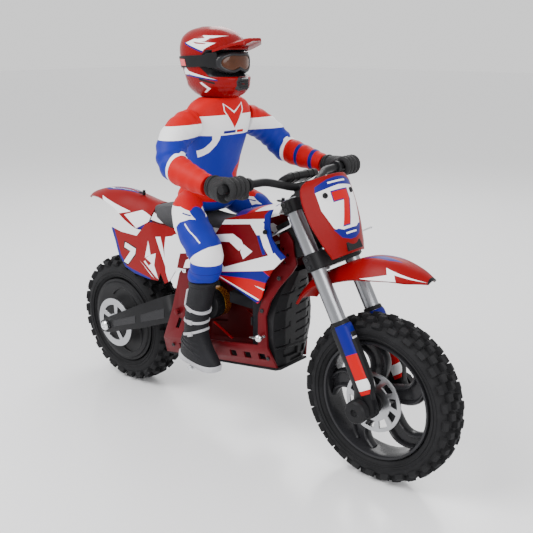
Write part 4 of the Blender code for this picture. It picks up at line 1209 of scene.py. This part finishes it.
def fork_legs():
    paint = finish_of("leg guard sticker", BRIGHT_RED, 0.38, 0, 0.0, 0.35, 0.03, 0.04, 0.05,
                      leg_graphics())
    stations = curve_through([(-11, 4, 6.6, 5.6), (-9, 4.5, 9.0, 7.3), (-2, 5.2, 10.2, 8.0),
                              (8, 6.5, 10.5, 8.2),
                              (18, 11.4, 10.0, 8.4), (30, 12.2, 9.8, 8.4), (50, TUBE_AHEAD, 10.0, 8.5),
                              (70, TUBE_AHEAD, 10.2, 8.6), (75, TUBE_AHEAD, 9.9, 8.6),
                              (77, TUBE_AHEAD, 9.0, 8.4)], 3)
    for name, side in sides():
        rings = []
        for along, ahead, deep, wide in stations:
            ring = oval((ahead, side * TUBE_SIDE, along), X_AXIS, Y_AXIS, deep, wide, 40, 2.6)
            rings.append(ring)
        for along in (77, 21):
            rings.append(oval((TUBE_AHEAD, side * TUBE_SIDE, along), X_AXIS, Y_AXIS, TUBE_RADIUS + 0.3,
                              TUBE_RADIUS + 0.3, 40))
        piece(f"fork_leg_{name}", turned(loft(rings)), paint, "fork_lower", node=f"fork_leg_{name}",
              rest=in_fork, angle=40)
        bm = bmesh.new()
        outer = [(13.6, -9.6), (14.4, 0.0), (17.4, 8.0), (21.0, 17.0), (23.2, 30.0), (23.6, 62.0)]
        ring_rows = []
        for ahead, along in curve_through(outer, 4):
            y = side * TUBE_SIDE
            ring_rows.append([Vector((ahead - 1.9, y - 4.6, along)), Vector((ahead, y - 3.2, along)),
                              Vector((ahead + 0.6, y, along)), Vector((ahead, y + 3.2, along)),
                              Vector((ahead - 1.9, y + 4.6, along)), Vector((ahead - 3.0, y, along))])
        loft(ring_rows, bm)
        for along in (-6.0, 66.0):
            ahead = 13.6 if along < 0 else 23.0
            block(bm, Vector((ahead, side * TUBE_SIDE, along)), (Y_AXIS, Z_AXIS,
                                                                X_AXIS), (6, 5, 2.2), 0.8)
        piece(f"guard_edge_{name}", turned(bm), "black", "fork_lower", rest=in_fork,
              bevel=0.3)
        dust = lathe([(TUBE_RADIUS + 0.4, 0), (TUBE_RADIUS + 2.0, 0), (TUBE_RADIUS + 1.6, 3.4),
                      (TUBE_RADIUS + 0.4, 4.0)], 40)
        dust.transform(Matrix.Rotation(radians(90), 4, "X"))
        dust.transform(Matrix.Translation((TUBE_AHEAD, side * TUBE_SIDE, 77.2)))
        piece(f"dust_seal_{name}", turned(dust), "black", "fork_lower", bevel=0.25)
        bm = lathe([(0.5, 0), (TUBE_RADIUS, 0), (TUBE_RADIUS, 156.0), (TUBE_RADIUS - 0.8, 157.0),
                    (0.5, 157.0)], 48)
        bm.transform(Matrix.Rotation(radians(90), 4, "X"))
        bm.transform(Matrix.Translation((TUBE_AHEAD, side * TUBE_SIDE, 44.0)))
        piece(f"fork_tube_{name}", turned(bm), "tube", "steering", node=f"fork_tube_{name}")


def clamp_plan(grow=0.0):
    points = []
    for k in range(17):
        turn = pi + pi * k / 16
        points.append((TUBE_AHEAD + (9.8 + grow) * cos(turn), -TUBE_SIDE + (9.8 + grow) * sin(turn)))
    right = [(-8.6 - grow, 0.0), (-7.4 - grow, -8.0), (-1.0, -16.0),
             (TUBE_AHEAD - 9.6, -TUBE_SIDE + 3), *points,
             (TUBE_AHEAD + 9.8 + grow, -TUBE_SIDE + 3), (20.0 + grow, -14.0)]
    return right + [(x, -y) for x, y in reversed(right) if y != 0.0]


def clamps():
    tubes = [circle((TUBE_AHEAD, s * TUBE_SIDE), TUBE_RADIUS + 0.3, 40) for s in (-1, 1)]
    stem = circle((0, 0), 4.4, 24)
    pocket = [(3.5, -9), (14, -9), (14, 9), (3.5, 9), (6.5, 0)]
    for node, low, high in (("lower_clamp", 131.0, 147.0), ("upper_clamp", 188.0, 200.0)):
        bm = prism(clamp_plan(), [*tubes, stem], low + 0.6, high - 0.6, plane="xy")
        prism(clamp_plan(-1.2), [*tubes, stem, pocket], high - 0.9, high, plane="xy", bm=bm)
        prism(clamp_plan(-1.2), [*tubes, stem], low, low + 0.9, plane="xy", bm=bm)
        for side in (-1, 1):
            axes = (X_AXIS, Z_AXIS, Vector((0, side, 0)))
            spot = Vector((TUBE_AHEAD + 1.0, side * (TUBE_SIDE + 9.4), (low + high) / 2))
            block(bm, spot, axes, (10, high - low - 2.4, 3.4), 0.9)
        piece(node, turned(bm), "black", "steering", node=node, bevel=0.35)
        for name, side in sides():
            for drop in (0.28, 0.72):
                along = low + (high - low) * drop
                spot = fork(TUBE_AHEAD + 1.0, side * (TUBE_SIDE + 11.0), along)
                screw(f"{node}_screw_{name}_{int(drop * 100)}", spot, (0, side, 0), 1.7, "steering",
                      "satin", 1.4)
    dress_cad("steering_stem", "steel_cad")
    bm = lathe([(1.6, 0), (5.4, 0), (5.4, 1.6), (4.4, 2.4), (2.2, 2.4), (1.6, 1.4)], 6)
    turn = Y_AXIS.rotation_difference(ALONG).to_matrix().to_4x4()
    piece("stem_nut", bm, "steel", "steering", at=fork(0, 0, 200.2), turn=turn, bevel=0.3)


def bar_line():
    knots = ((262.5, 0, 270), (261, 16, 270), (257, 30, 273.5), (251.5, 44, 277), (249.6, 60, 277.5),
             (249.2, 80, 277.5), (249.0, 101, 277.5))
    full = [(x, -y, z) for x, y, z in reversed(knots[1:])] + list(knots)
    return [Vector(p) for p in curve_through(full, 6)]


def handlebar():
    bm = sweep(bar_line(), 3.7, 24, first=(0, 0, 1))
    for side in (-1, 1):
        work = lathe([(3.6, -1.8), (6.2, -1.8), (6.2, 1.8), (3.6, 1.8)], 28)
        work.transform(Matrix.Translation((249.1, side * 66.5, 277.5)))
        merge(bm, work)
    piece("handlebar", bm, "black", "steering", node="handlebar", bevel=0.2)
    bm = bmesh.new()
    for side in (-1, 1):
        outline = [(5, side * 4), (23, side * 4), (23, side * 15), (5, side * 15)]
        if side < 0:
            outline.reverse()
        prism(outline, [], 200.6, 205.4, plane="xy", bm=bm)
        prism([(7, side * 5), (20, side * 5), (18, side * 13), (9, side * 13)], [], 205.2, 211.0,
              plane="xy", bm=bm)
    prism([(8, -5), (20, -5), (20, 5), (8, 5)], [], 200.6, 203.2, plane="xy", bm=bm)
    piece("bar_clamp", turned(bm), "satin", "steering", node="bar_clamp", bevel=0.5)
    for name, side in sides():
        for ahead in (7.5, 20.5):
            screw(f"bar_clamp_screw_{name}_{int(ahead)}", fork(ahead, side * 9.5, 205.2), ALONG, 1.7,
                  "steering", "satin", 1.6)
    rings = []
    for y, size in ((-23, 2.2), (-22, 3.2), (-20, 3.8), (-14, 4.1), (0, 4.3), (14, 4.1), (20, 3.8),
                    (22, 3.2), (23, 2.2)):
        rings.append(oval((TUBE_AHEAD - 2, y, 220.4), X_AXIS, Z_AXIS, size + 4, size, 32, 3.0))
    bm = loft(rings)
    for side in (-1, 1):
        for y in (side * 7.0, side * 15.0):
            work = loft([oval((TUBE_AHEAD - 2, y + t, 220.4), X_AXIS, Z_AXIS, 8.6, 4.6, 32, 3.0)
                         for t in (-0.8, 0.8)])
            merge(bm, work)
    piece("bar_pad", turned(bm), "black", "steering", node="bar_pad", bevel=0.4)


def gloves():
    for name, side in sides():
        bm = bmesh.new()
        palm = [(221.6, 276, 8.6, 8.6), (225, 275.6, 9.6, 9.4), (229, 275, 11, 10.4),
                (235, 274.4, 12.2, 11.4),
                (241, 274, 12.6, 11.8)]
        sweep([(x, side * 85, z) for x, z, _, _ in palm], [(d, t) for _, _, d, t in palm], 32, bm,
              (0, 1, 0))
        sweep([(236, side * 85, 277.5), (242, side * 85, 280.4), (248, side * 85, 282.6),
               (253, side * 85, 283.4)],
              [(11.8, 7.0), (11.2, 5.4), (10.6, 4.2), (9.4, 2.6)], 28, bm, (0, 1, 0))
        for k in range(4):
            y = 76.6 + 5.7 * k
            curl = []
            for step in range(13):
                turn = radians(112 - 214 * step / 12)
                reach = 7.4 if step else 7.0
                curl.append((249.6 + reach * cos(turn), side * y, 277.0 + reach * sin(turn)))
            sweep(curl, [(3.1, 3.1)] * 6 + [(2.9, 2.9)] * 4 + [(2.7, 2.6)] * 2 + [(1.7, 1.7)], 14, bm,
                  (0, 1, 0))
        thumb = curve_through([(236, side * 76, 270), (243, side * 73.0, 268.0),
                               (250, side * 73.0, 268.2),
                               (255.5, side * 75.0, 270.5)], 4)
        sweep(thumb, [3.9] * 4 + [3.6] * 4 + [3.2] * 4 + [2.3], 14, bm)
        for k, x in enumerate((223.6, 226.4)):
            work = loft([oval((x + t, side * 85, 275.6 - 0.2 * k), Y_AXIS, Z_AXIS, 10.2 + 1.0 * k,
                              10.0 + 0.7 * k, 32) for t in (-0.9, 0.9)])
            merge(bm, work)
        piece(f"glove_{name}", bm, "glove", "steering", node=f"glove_{name}",
              bevel=0.5, angle=45)


fork_legs()
clamps()
handlebar()
gloves()


# Rider figure.

def level_ring(level, count):
    """A ring round the rider's trunk at one (z, x, deep, wide) level."""
    z, x, deep, wide = level
    return oval((x, 0, z), X_AXIS, Y_AXIS, deep, wide, count, SQUARISH)


def suit(name, layers):
    return finish_of(name, SUIT_BLUE, 0.5, 0, 0, 0.8, 0.55, 0.06, 0.04, layers, height=woven)


def torso_graphics():
    """Jersey: red yoke, white chest band with a chevron, blue body."""
    high = 332.5
    layers = [
        (WHITE, "xz", [(100, 313), (200, 309), (200, high - 1), (100, high - 6)]),
        (BRIGHT_RED, "xz", [(100, high - 6), (200, high - 1), (200, 360), (100, 360)]),
        (WHITE, "yz", [(-26, 314), (-17, 311), (-17.5, 306), (-24.5, 306)], FRONT_ONLY),
        (WHITE, "yz", [(-24.5, 306.2), (-17.5, 306.2), (-20, 300), (-26.5, 302)], FRONT_ONLY),
        (WHITE, "yz", [(-26.5, 302.4), (-20, 300.4), (-25, 293), (-30, 297)], FRONT_ONLY),
        (WHITE, "yz", [(-30, 297.4), (-25, 293.4), (-36, 284), (-38, 290)], FRONT_ONLY),
        (BRIGHT_RED, "xz", [(148, 305), (156, 300), (160, 276), (158, 256), (146, 256), (144, 280)],
         LEFT_ONLY),
        (BRIGHT_RED, "xz", [(100, 250), (200, 250), (200, 258), (100, 258)]),
    ]
    for ink, grow in ((WHITE, 1.3), (BRIGHT_RED, 0.0)):
        for side in (-1, 1):
            outline = [(1, 316.5 - grow * 1.6), (1 + side * 12.5 + side * grow, 334 - grow * 0.2),
                       (1 + side * 12.5 + side * grow, 340 + grow), (1, 331 + grow * 1.6)]
            layers.append((ink, "yz", outline, FRONT_ONLY))
    layers += [
        (BLUE, "yz", [(-14, 314.5), (3, 314.5), (3, 311.8), (-14, 311.8)], FRONT_ONLY),
        (BRIGHT_RED, "yz", [(4.5, 314.5), (14, 314.5), (14, 311.8), (4.5, 311.8)], FRONT_ONLY),
    ]
    return layers


def torso():
    levels = curve_through([(256, 134, 23, 29), (259, 135.2, 24.2, 30.6), (264, 136.5, 23, 30),
                            (285, 142, 21.5, 31.5),
                            (305, 146.5, 22.5, 35), (322, 149, 22, 39.5), (333, 150, 20.5, 39.3),
                            (341, 151, 18, 34), (346, 152, 16, 24)], 4)
    rings = []
    for z, x, deep, wide in levels:
        ring = level_ring((z, x, deep, wide), 56)
        for point in ring:
            side = point.y / wide
            fold = 0.7 * sin(z * 0.34 + side * 2.2) * (1 - ramp(z, 262, 292))
            chest = 1.6 * exp(-((z - 316) / 12.0) ** 2) * (1 - abs(abs(side) - 0.45) * 2.0)
            if point.x > x:
                point.x += max(chest, 0) + fold
            else:
                point.x -= fold
        rings.append(ring)
    piece("torso", loft(rings), suit("jersey", torso_graphics()), "chassis", node="torso",
          angle=60)


def trouser_graphics():
    """Riding trousers: red waist, white hip panel, blue leg, white knee patch."""
    hip = [(110, 239), (150, 242.5), (162, 240), (186, 221), (172, 196), (150, 198), (110, 215)]
    return [
        (BRIGHT_RED, "xz", [(80, 225), (150, 242.5), (200, 255), (200, 262), (80, 262)]),
        (BRIGHT_RED, "xz", [(150, 242.5), (162, 240), (200, 262), (150, 262)]),
        (SUIT_BLUE, "xz", [(158, 247), (176, 222), (200, 222), (200, 247)]),
        (SUIT_BLUE, "xz", [(110, 239), (150, 242.5), (162, 240), (190, 221), (190, 196), (150, 196),
                           (110, 215)]),
        (WHITE, "xz", hip, (((0.0, -1.0, 0.0), 34.0),)),
        (WHITE, "xz", hip, (((0.0, 1.0, 0.0), 34.0),)),
        (SUIT_BLUE, "xz", [(153, 224), (158, 229.5), (167, 233), (173, 232.5), (200, 214), (200, 190),
                           (172, 195), (165, 201), (155, 212)]),
        (WHITE, "xz", [(172, 193.5), (182, 202), (193, 209.5), (206, 212), (206, 190), (176, 191.5)]),
        (SUIT_BLUE, "xz", [(150, 193), (206, 190), (206, 160), (150, 160)]),
        (BLUE, "xz", [(157, 238.4), (166, 236.6), (166, 235.6), (157, 237.4)]),
        (WHITE, "xz", [(164, 229.5), (186, 214), (186, 212.8), (164, 228.1)]),
        (BLUE, "xz", [(150, 183), (206, 181.6), (206, 180.9), (150, 182.3)]),
    ]


def trousers():
    levels = curve_through([(231, 129, 22, 22), (236, 130, 26, 30), (247, 131, 26, 32),
                            (253, 132.6, 24.3, 30.4),
                            (255.3, 133, 23.5, 30)], 3)
    bm = loft([level_ring(level, 48) for level in levels])
    knots = [(127, 20, 241, 12), (137, 33, 238, 15.2), (150, 45, 230, 17), (164, 50.5, 218, 17.4),
             (180, 53, 201, 17.2), (181, 53, 187, 16), (176.6, 52.3, 177, 15.2),
             (176.6, 52.3, 171.8, 15)]
    for side in (-1, 1):
        line = curve_through([(x, side * y, z, size) for x, y, z, size in knots], 6)
        points = [p[:3] for p in line]
        sizes = []
        for x, y, z, size in line:
            knee = 0.5 * exp(-((z - 203) / 4.0) ** 2) - 0.5 * exp(-((z - 192) / 2.0) ** 2)
            swell = 0.35 * sin(z * 0.62) + 0.5 * exp(-((z - 176) / 3.0) ** 2) + knee
            sizes.append((size + swell, size + swell))
        sweep(points, sizes, 40, bm)
    piece("trousers", bm, suit("trousers", trouser_graphics()), "chassis", node="trousers",
          angle=70)


BOOT_ROWS = curve_through([(176, 171, 13.4, 13.2), (172.5, 160, 13.0, 12.8), (168.5, 147, 12.7, 12.5),
                           (165.4, 131, 12.2, 12.0), (164.0, 120, 12.2, 11.7), (163.4, 111, 13.6, 11.4),
                           (164.2, 103, 17.4, 11.3), (166.6, 95, 22.6, 11.1), (168.4, 88.5, 26.4, 10.9),
                           (168.3, 84, 27.0, 10.7)], 5)


def boot_ring(z, side, grow=0.0, slant=0.0):
    """A ring round the boot at a height, tilting as the foot does."""
    k = 0
    while k < len(BOOT_ROWS) - 2 and BOOT_ROWS[k + 1][1] > z:
        k += 1
    share = ramp(-z, -BOOT_ROWS[k][1], -BOOT_ROWS[k + 1][1])
    x, _, deep, wide = [a + (b - a) * share for a, b in zip(BOOT_ROWS[k], BOOT_ROWS[k + 1])]
    pitch = FOOT_PITCH * ramp(112 - z, 0, 14)
    lean = Vector((cos(pitch), 0, slant - sin(pitch)))
    return oval((x, side * 52, z), lean, Y_AXIS, deep + grow, wide + grow, 48, SQUARISH)


def boot_band(bm, z, side, profile, slant=0.0):
    """A raised band round the boot, from (height, stand-off) pairs."""
    loft([boot_ring(z + lift, side, grow, slant) for lift, grow in profile], bm)


def boots():
    along = Vector((cos(FOOT_PITCH), 0, -sin(FOOT_PITCH)))
    up = Vector((sin(FOOT_PITCH), 0, cos(FOOT_PITCH)))
    for name, side in sides():
        bm = loft([boot_ring(row[1], side) for row in BOOT_ROWS])
        for z in (106.0, 100.5, 95.0):
            boot_band(bm, z, side, ((-2.0, -0.4), (-1.4, 0.5), (1.4, 0.5), (2.0, -0.4)), -0.20)
        boot_band(bm, 0, side, ((170.8, -0.2), (170.2, 0.9), (166.5, 0.9), (165.8, -0.2)))
        piece(f"boot_{name}", bm, "boot", "chassis", node=f"boot_{name}", angle=60)
        outline = []
        for k in range(56):
            turn = tau * k / 56
            a, b = cos(turn), sin(turn)
            waist = 1.0 - 0.14 * exp(-((a + 0.15) / 0.35) ** 2)
            outline.append((28.0 * flatten(a, 0.8), 11.1 * waist * flatten(b, 0.8)))
        centre = Vector((167.4, side * 52, 80.6))
        rows = []
        for lift, grow in ((-2.6, 0.96), (-2.2, 1.0), (3.4, 1.0), (3.8, 0.97)):
            row = []
            for a, b in outline:
                curve = 3.2 * ramp(a, 12, 28) ** 2 + 1.2 * ramp(-a, 16, 28) ** 2
                row.append(centre + along * a * grow + Vector((0, b * grow, 0)) + up * (lift + curve))
            rows.append(row)
        bm = loft(rows)
        for k in range(5):
            if k != 2:
                spot = centre + along * (-20 + 7.6 * k) - up * 2.7
                block(bm, spot, (along, Y_AXIS, up), (3.0, 16, 1.0), 1.0)
        piece(f"boot_sole_{name}", bm, "pale", "chassis", bevel=0.2, angle=50)
        bm = bmesh.new()
        for z, slant in ((141.0, -0.30), (127.0, -0.04), (114.0, 0.34)):
            boot_band(bm, z, side, ((-1.7, -0.4), (-1.3, 0.7), (1.3, 0.7), (1.7, -0.4)), slant)
            face = 52 + 12.2
            block(bm, Vector((166.5, side * face, z)), (Vector((1, 0, slant)).normalized(), Z_AXIS,
                                                        Vector((0, side, 0))), (6.5, 4.8, 2.2), 0.85)
        block(bm, Vector((162.4, side * 63.6, 153.0)), (X_AXIS, Vector((0.25, 0, 1)).normalized(),
                                                        Vector((0, side, 0))), (2.0, 19.0, 1.6), 0.9)
        piece(f"boot_straps_{name}", bm, "pale", "chassis", bevel=0.25)


def sleeve_graphics():
    return [
        (WHITE, "xz", [(100, 311), (200, 311), (200, 325), (100, 320)]),
        (BRIGHT_RED, "xz", [(100, 320), (200, 325), (200, 360), (100, 360)]),
        (WHITE, "xz", [(176.5, 302), (180, 302), (172, 255), (168.5, 255)]),
        (BRIGHT_RED, "xz", [(180, 302), (240, 302), (240, 255), (172, 255)]),
        (BLUE, "xz", [(191, 300), (195, 300), (191, 260), (187, 260)], LEFT_ONLY),
        (BLUE, "xz", [(208, 300), (212, 300), (209, 260), (205, 260)], LEFT_ONLY),
    ]


def sleeves():
    knots = [(150, 38, 322, 14, 15), (151, 48, 319.5, 15, 15.5), (154, 63, 312, 15, 15),
             (160, 75, 301, 14.5, 14.5),
             (169, 81, 289, 14, 14), (186, 84, 283, 13, 13), (204, 85.5, 279, 11.5, 11.5),
             (219, 86, 276, 9.5, 9.5)]
    paint = suit("sleeve", sleeve_graphics())
    for name, side in sides():
        line = curve_through([(x, side * y, z, a, b) for x, y, z, a, b in knots], 7)
        sizes = []
        for k, (x, y, z, a, b) in enumerate(line):
            fold = 0.35 * sin(k * 1.35) * (1 + exp(-((k - 26) / 7.0) ** 2))
            sizes.append((a + fold - 0.2, b + fold - 0.2))
        bm = sweep([p[:3] for p in line], sizes, 40)
        node = f"sleeve_{name}"
        thing = piece(node, bm, paint, None, node=node, angle=70, stay=True)
        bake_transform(thing)


def helmet_graphics():
    """Race helmet stickers, seen from the side."""
    white = [
        [(133, 398), (145, 402), (152, 401), (146, 397.5)],
        [(133, 398), (146, 399.5), (158, 392), (157, 390.5)],
        [(146, 401.5), (162, 402.8), (158, 399.6), (150, 398.6)],
        [(146, 399.5), (168, 398.0), (157, 391.5)],
        [(153, 405.0), (172, 404.5), (165, 402.6), (157, 402.4)],
        [(126, 371.5), (131, 376), (137, 371), (136, 368.3), (126.5, 368)],
        [(136, 371.6), (137, 368.2), (150, 368.6)],
        [(137, 368.2), (171, 364), (150, 368.6)],
        [(150, 360.8), (153, 361.4), (162.5, 355.4), (159, 354.4)],
        [(162.5, 355.4), (159, 355.6), (152, 351.6), (154, 351.0)],
    ]
    layers = [(BLUE, "xz", [(131.5, 399), (157, 391), (156, 389), (131.5, 397)]),
              (BLUE, "xz", [(125, 371), (128, 374.5), (136.5, 367.6), (133, 366)]),
              (BLUE, "xz", [(137, 368.2), (171, 364), (171, 362.8), (136, 366.6)])]
    layers += [(WHITE, "xz", outline) for outline in white]
    layers.append((RED, "xz", [(143, 399.2), (160, 397.6), (158, 396.8), (148, 397.2)]))
    layers.append((BLUE, "xz", [(120, 347.6), (200, 345.6), (200, 342), (120, 342)]))
    layers.append((BLACK, "xz", [(150, 365.5), (168, 361.5), (168, 359.6), (150, 363.2)]))
    layers.append((BLACK, "xz", [(152, 376), (152, 384), (160, 391.8), (185, 391.8), (185, 366.6),
                                 (163, 366.6)]))
    return layers


def helmet_surface(z, turn, grow=0.0):
    """A point on the helmet's shell at a height and a heading (0 is forward)."""
    levels = HELMET_LEVELS
    k = 0
    while k < len(levels) - 2 and levels[k + 1][0] < z:
        k += 1
    low, high = levels[k], levels[k + 1]
    share = ramp(z, low[0], high[0])
    x, deep, wide = [low[i] + (high[i] - low[i]) * share for i in (1, 2, 3)]
    a = flatten(cos(turn), 2 / SQUARISH)
    b = flatten(sin(turn), 2 / SQUARISH)
    return Vector((x + (deep + grow) * a, (wide + grow) * b, z))


HELMET_LEVELS = curve_through([(346.5, 152, 20, 16), (350, 152, 27, 20), (356, 151, 33, 24),
                               (362, 150.4, 33.8, 26), (368, 149, 34, 27.4), (380, 145, 34, 28.5),
                               (394, 144, 34.5, 28.5), (404, 143, 30, 24.5), (410, 143, 22, 18),
                               (413.4, 144, 10, 9)], 6)


def helmet():
    rings = []
    for z, x, deep, wide in HELMET_LEVELS:
        ring = level_ring((z, x, deep, wide), 96)
        for point in ring:
            ahead = ramp(point.x, 150, 172)
            eye = ahead * exp(-((z - 379) / 11.5) ** 8)
            point.x -= 7.6 * eye
            ridge = exp(-((z - 402) / 3.0) ** 2) * ramp(abs(point.y), 8, 16)
            point.z += 0.6 * ridge
            brow = exp(-((z - 392.6) / 1.6) ** 2) * ahead
            chin = exp(-((z - 365.2) / 2.4) ** 2) * ahead
            point.x += 0.8 * (chin + brow)
        rings.append(ring)
    paint = finish_of("helmet sticker", RED, 0.27, 0, 0.08, 0.35, 0.02, 0.04, 0.05, helmet_graphics())
    piece("helmet", loft(rings), paint, "chassis", node="helmet", angle=50)
    peak()
    goggles()
    mouthpiece()


def peak():
    rings = []
    for x, z, wide, lift in curve_through([(172.0, 395.6, 24.0, 0.6), (180.3, 397.6, 23.2, 1.0),
                                           (190, 400.4, 20.8, 1.2), (198, 402.2, 16.6, 1.0),
                                           (203, 402.6, 12, 0.6)], 5):
        top, bottom = [], []
        for k in range(33):
            s = -1 + k / 16
            crown = lift * exp(-((abs(s) - 0.45) / 0.16) ** 2)
            place = Vector((x - 6.2 * s * s, wide * s, z - 3.6 * s * s + crown))
            top.append(place)
            bottom.append(place - Vector((0, 0, 2.6)))
        rings.append(top + list(reversed(bottom)))
    piece("helmet_peak", loft(rings), "red", "chassis", node="helmet_peak",
          bevel=0.5, angle=50)


def goggles():
    def frame_ring(ahead, grow, count=48, shrink=1.0):
        ring = []
        for k in range(count):
            turn = tau * k / count
            y = (23.2 + grow) * flatten(cos(turn), 0.8)
            tall = (10.4 + grow) * flatten(sin(turn), 0.8)
            nose = 3.4 * exp(-(y / 5.0) ** 2) if tall < 0 else 0.8 * exp(-(y / 6.0) ** 2)
            tall = (tall + (nose if tall < 0 else -nose)) * shrink
            y *= shrink
            ring.append(Vector((174.4 + ahead - 10.2 * (abs(y) / 24.5) ** 2.4, y, EYE_HEIGHT + tall)))
        return ring

    rings = [frame_ring(-4.0, 0.2), frame_ring(4.6, 0.2), frame_ring(6.2, -0.5), frame_ring(6.9, -1.8),
             frame_ring(6.5, -3.0), frame_ring(4.8, -3.2)]
    piece("goggles", loft(rings), "satin", "chassis", node="goggles", angle=50)
    rings = [frame_ring(4.0, -3.0), frame_ring(5.5, -3.1), frame_ring(5.9, -4.4)]
    rings += [frame_ring(6.0, -4.4, shrink=share) for share in (0.8, 0.5, 0.2)]
    lens = finish_of("goggle lens", (0.07, 0.022, 0.008), 0.16, 0, 0.3, 0.2, 0.0, 0.04, 0.25)
    piece("goggle_lens", loft(rings), lens, "chassis", angle=60)
    rows = []
    for k in range(61):
        turn = radians(46 + 268 * k / 60)
        tall = 5.4 if 4 < k < 56 else 7.0
        lean = 381.0 + 2.0 * cos(turn)
        rows.append([helmet_surface(lean - tall, turn, 0.2), helmet_surface(lean - tall, turn, 1.3),
                     helmet_surface(lean + tall, turn, 1.3), helmet_surface(lean + tall, turn, 0.2)])
    piece("goggle_strap", loft(rows), "black", "chassis", bevel=0.2)
    bm = bmesh.new()
    for side in (-1, 1):
        rows = []
        for k in range(7):
            turn = side * radians(106 + 18 * k / 6)
            lean = 379.6
            rows.append([helmet_surface(lean - 3.2, turn, 0.8), helmet_surface(lean - 3.2, turn, 1.8),
                         helmet_surface(lean + 3.2, turn, 1.8), helmet_surface(lean + 3.2, turn, 0.8)])
        loft(rows, bm)
    piece("strap_badge", bm, "pink", "chassis")


def mouthpiece():
    bm = bmesh.new()
    rows = []
    for x, wide, low, high in ((178, 10.6, 352.5, 367.0), (184.5, 10.0, 353.5, 366.0),
                               (186.6, 7.6, 354.8, 364.6)):
        rows.append([Vector((x - 2.6, -wide, low + 2)), Vector((x, -wide * 0.5, low)),
                     Vector((x, wide * 0.5, low)),
                     Vector((x - 2.6, wide, low + 2)), Vector((x - 2.6, wide, high - 2)),
                     Vector((x, wide * 0.6, high)), Vector((x, -wide * 0.6, high)),
                     Vector((x - 2.6, -wide, high - 2))])
    loft(rows, bm)
    for k in range(4):
        block(bm, Vector((186.2, 0, 356.4 + 2.4 * k)), (Y_AXIS, Z_AXIS, X_AXIS),
              (12.5, 1.1, 1.6), 0.9)
    piece("helmet_mouthpiece", bm, "satin", "chassis", bevel=0.3)


torso()
trousers()
boots()
sleeves()
helmet()


# Stage.

def stage():
    floor_mesh = bpy.data.meshes.new("floor")
    work = bmesh.new()
    corners = [work.verts.new(Vector(p) * MM) for p in
               ((-FLOOR_REACH, -FLOOR_REACH, 0), (FLOOR_REACH, -FLOOR_REACH, 0),
                (FLOOR_REACH, FLOOR_REACH, 0), (-FLOOR_REACH, FLOOR_REACH, 0))]
    work.faces.new(corners)
    work.to_mesh(floor_mesh)
    work.free()
    floor = bpy.data.objects.new("floor", floor_mesh)
    bpy.context.scene.collection.objects.link(floor)
    nodes = Nodes("pale floor")
    nodes.shader.inputs["Base Color"].default_value = (0.86, 0.86, 0.87, 1.0)
    nodes.shader.inputs["Roughness"].default_value = 0.22
    floor_mesh.materials.append(nodes.material)
    world = bpy.data.worlds.new("studio")
    bpy.context.scene.world = world
    world.use_nodes = True
    world.node_tree.nodes["Background"].inputs["Color"].default_value = (1.0, 1.0, 1.0, 1.0)
    world.node_tree.nodes["Background"].inputs["Strength"].default_value = 1.10
    for name, spot, power, size in (("key", (-350, -900, 1300), 26.0, 900),
                                    ("fill", (1300, -300, 700), 9.0, 700),
                                    ("rim", (-400, 1000, 1100), 10.0, 800)):
        light = bpy.data.lights.new(name, "AREA")
        light.energy = power
        light.size = size * MM
        lamp = bpy.data.objects.new(name, light)
        bpy.context.scene.collection.objects.link(lamp)
        lamp.location = ORIGIN + Vector(spot) * MM
        aim = Vector((180, 0, 180)) - Vector(spot)
        lamp.rotation_euler = aim.to_track_quat("-Z", "Y").to_euler()
    camera = bpy.data.cameras.new("camera")
    camera.lens = 52.38
    camera.sensor_width = 36.0
    camera.clip_start = 0.02
    viewer = bpy.data.objects.new("camera", camera)
    bpy.context.scene.collection.objects.link(viewer)
    target = Vector((183.0, 35.8, 166.9))
    azimuth, elevation, distance = radians(40.73), radians(16.34), 833.7
    back = Vector((sin(azimuth) * cos(elevation), -cos(azimuth) * cos(elevation),
                   sin(elevation)))
    viewer.location = ORIGIN + (target + back * distance) * MM
    viewer.rotation_euler = (-back).to_track_quat("-Z", "Y").to_euler()
    bpy.context.scene.camera = viewer


stage()
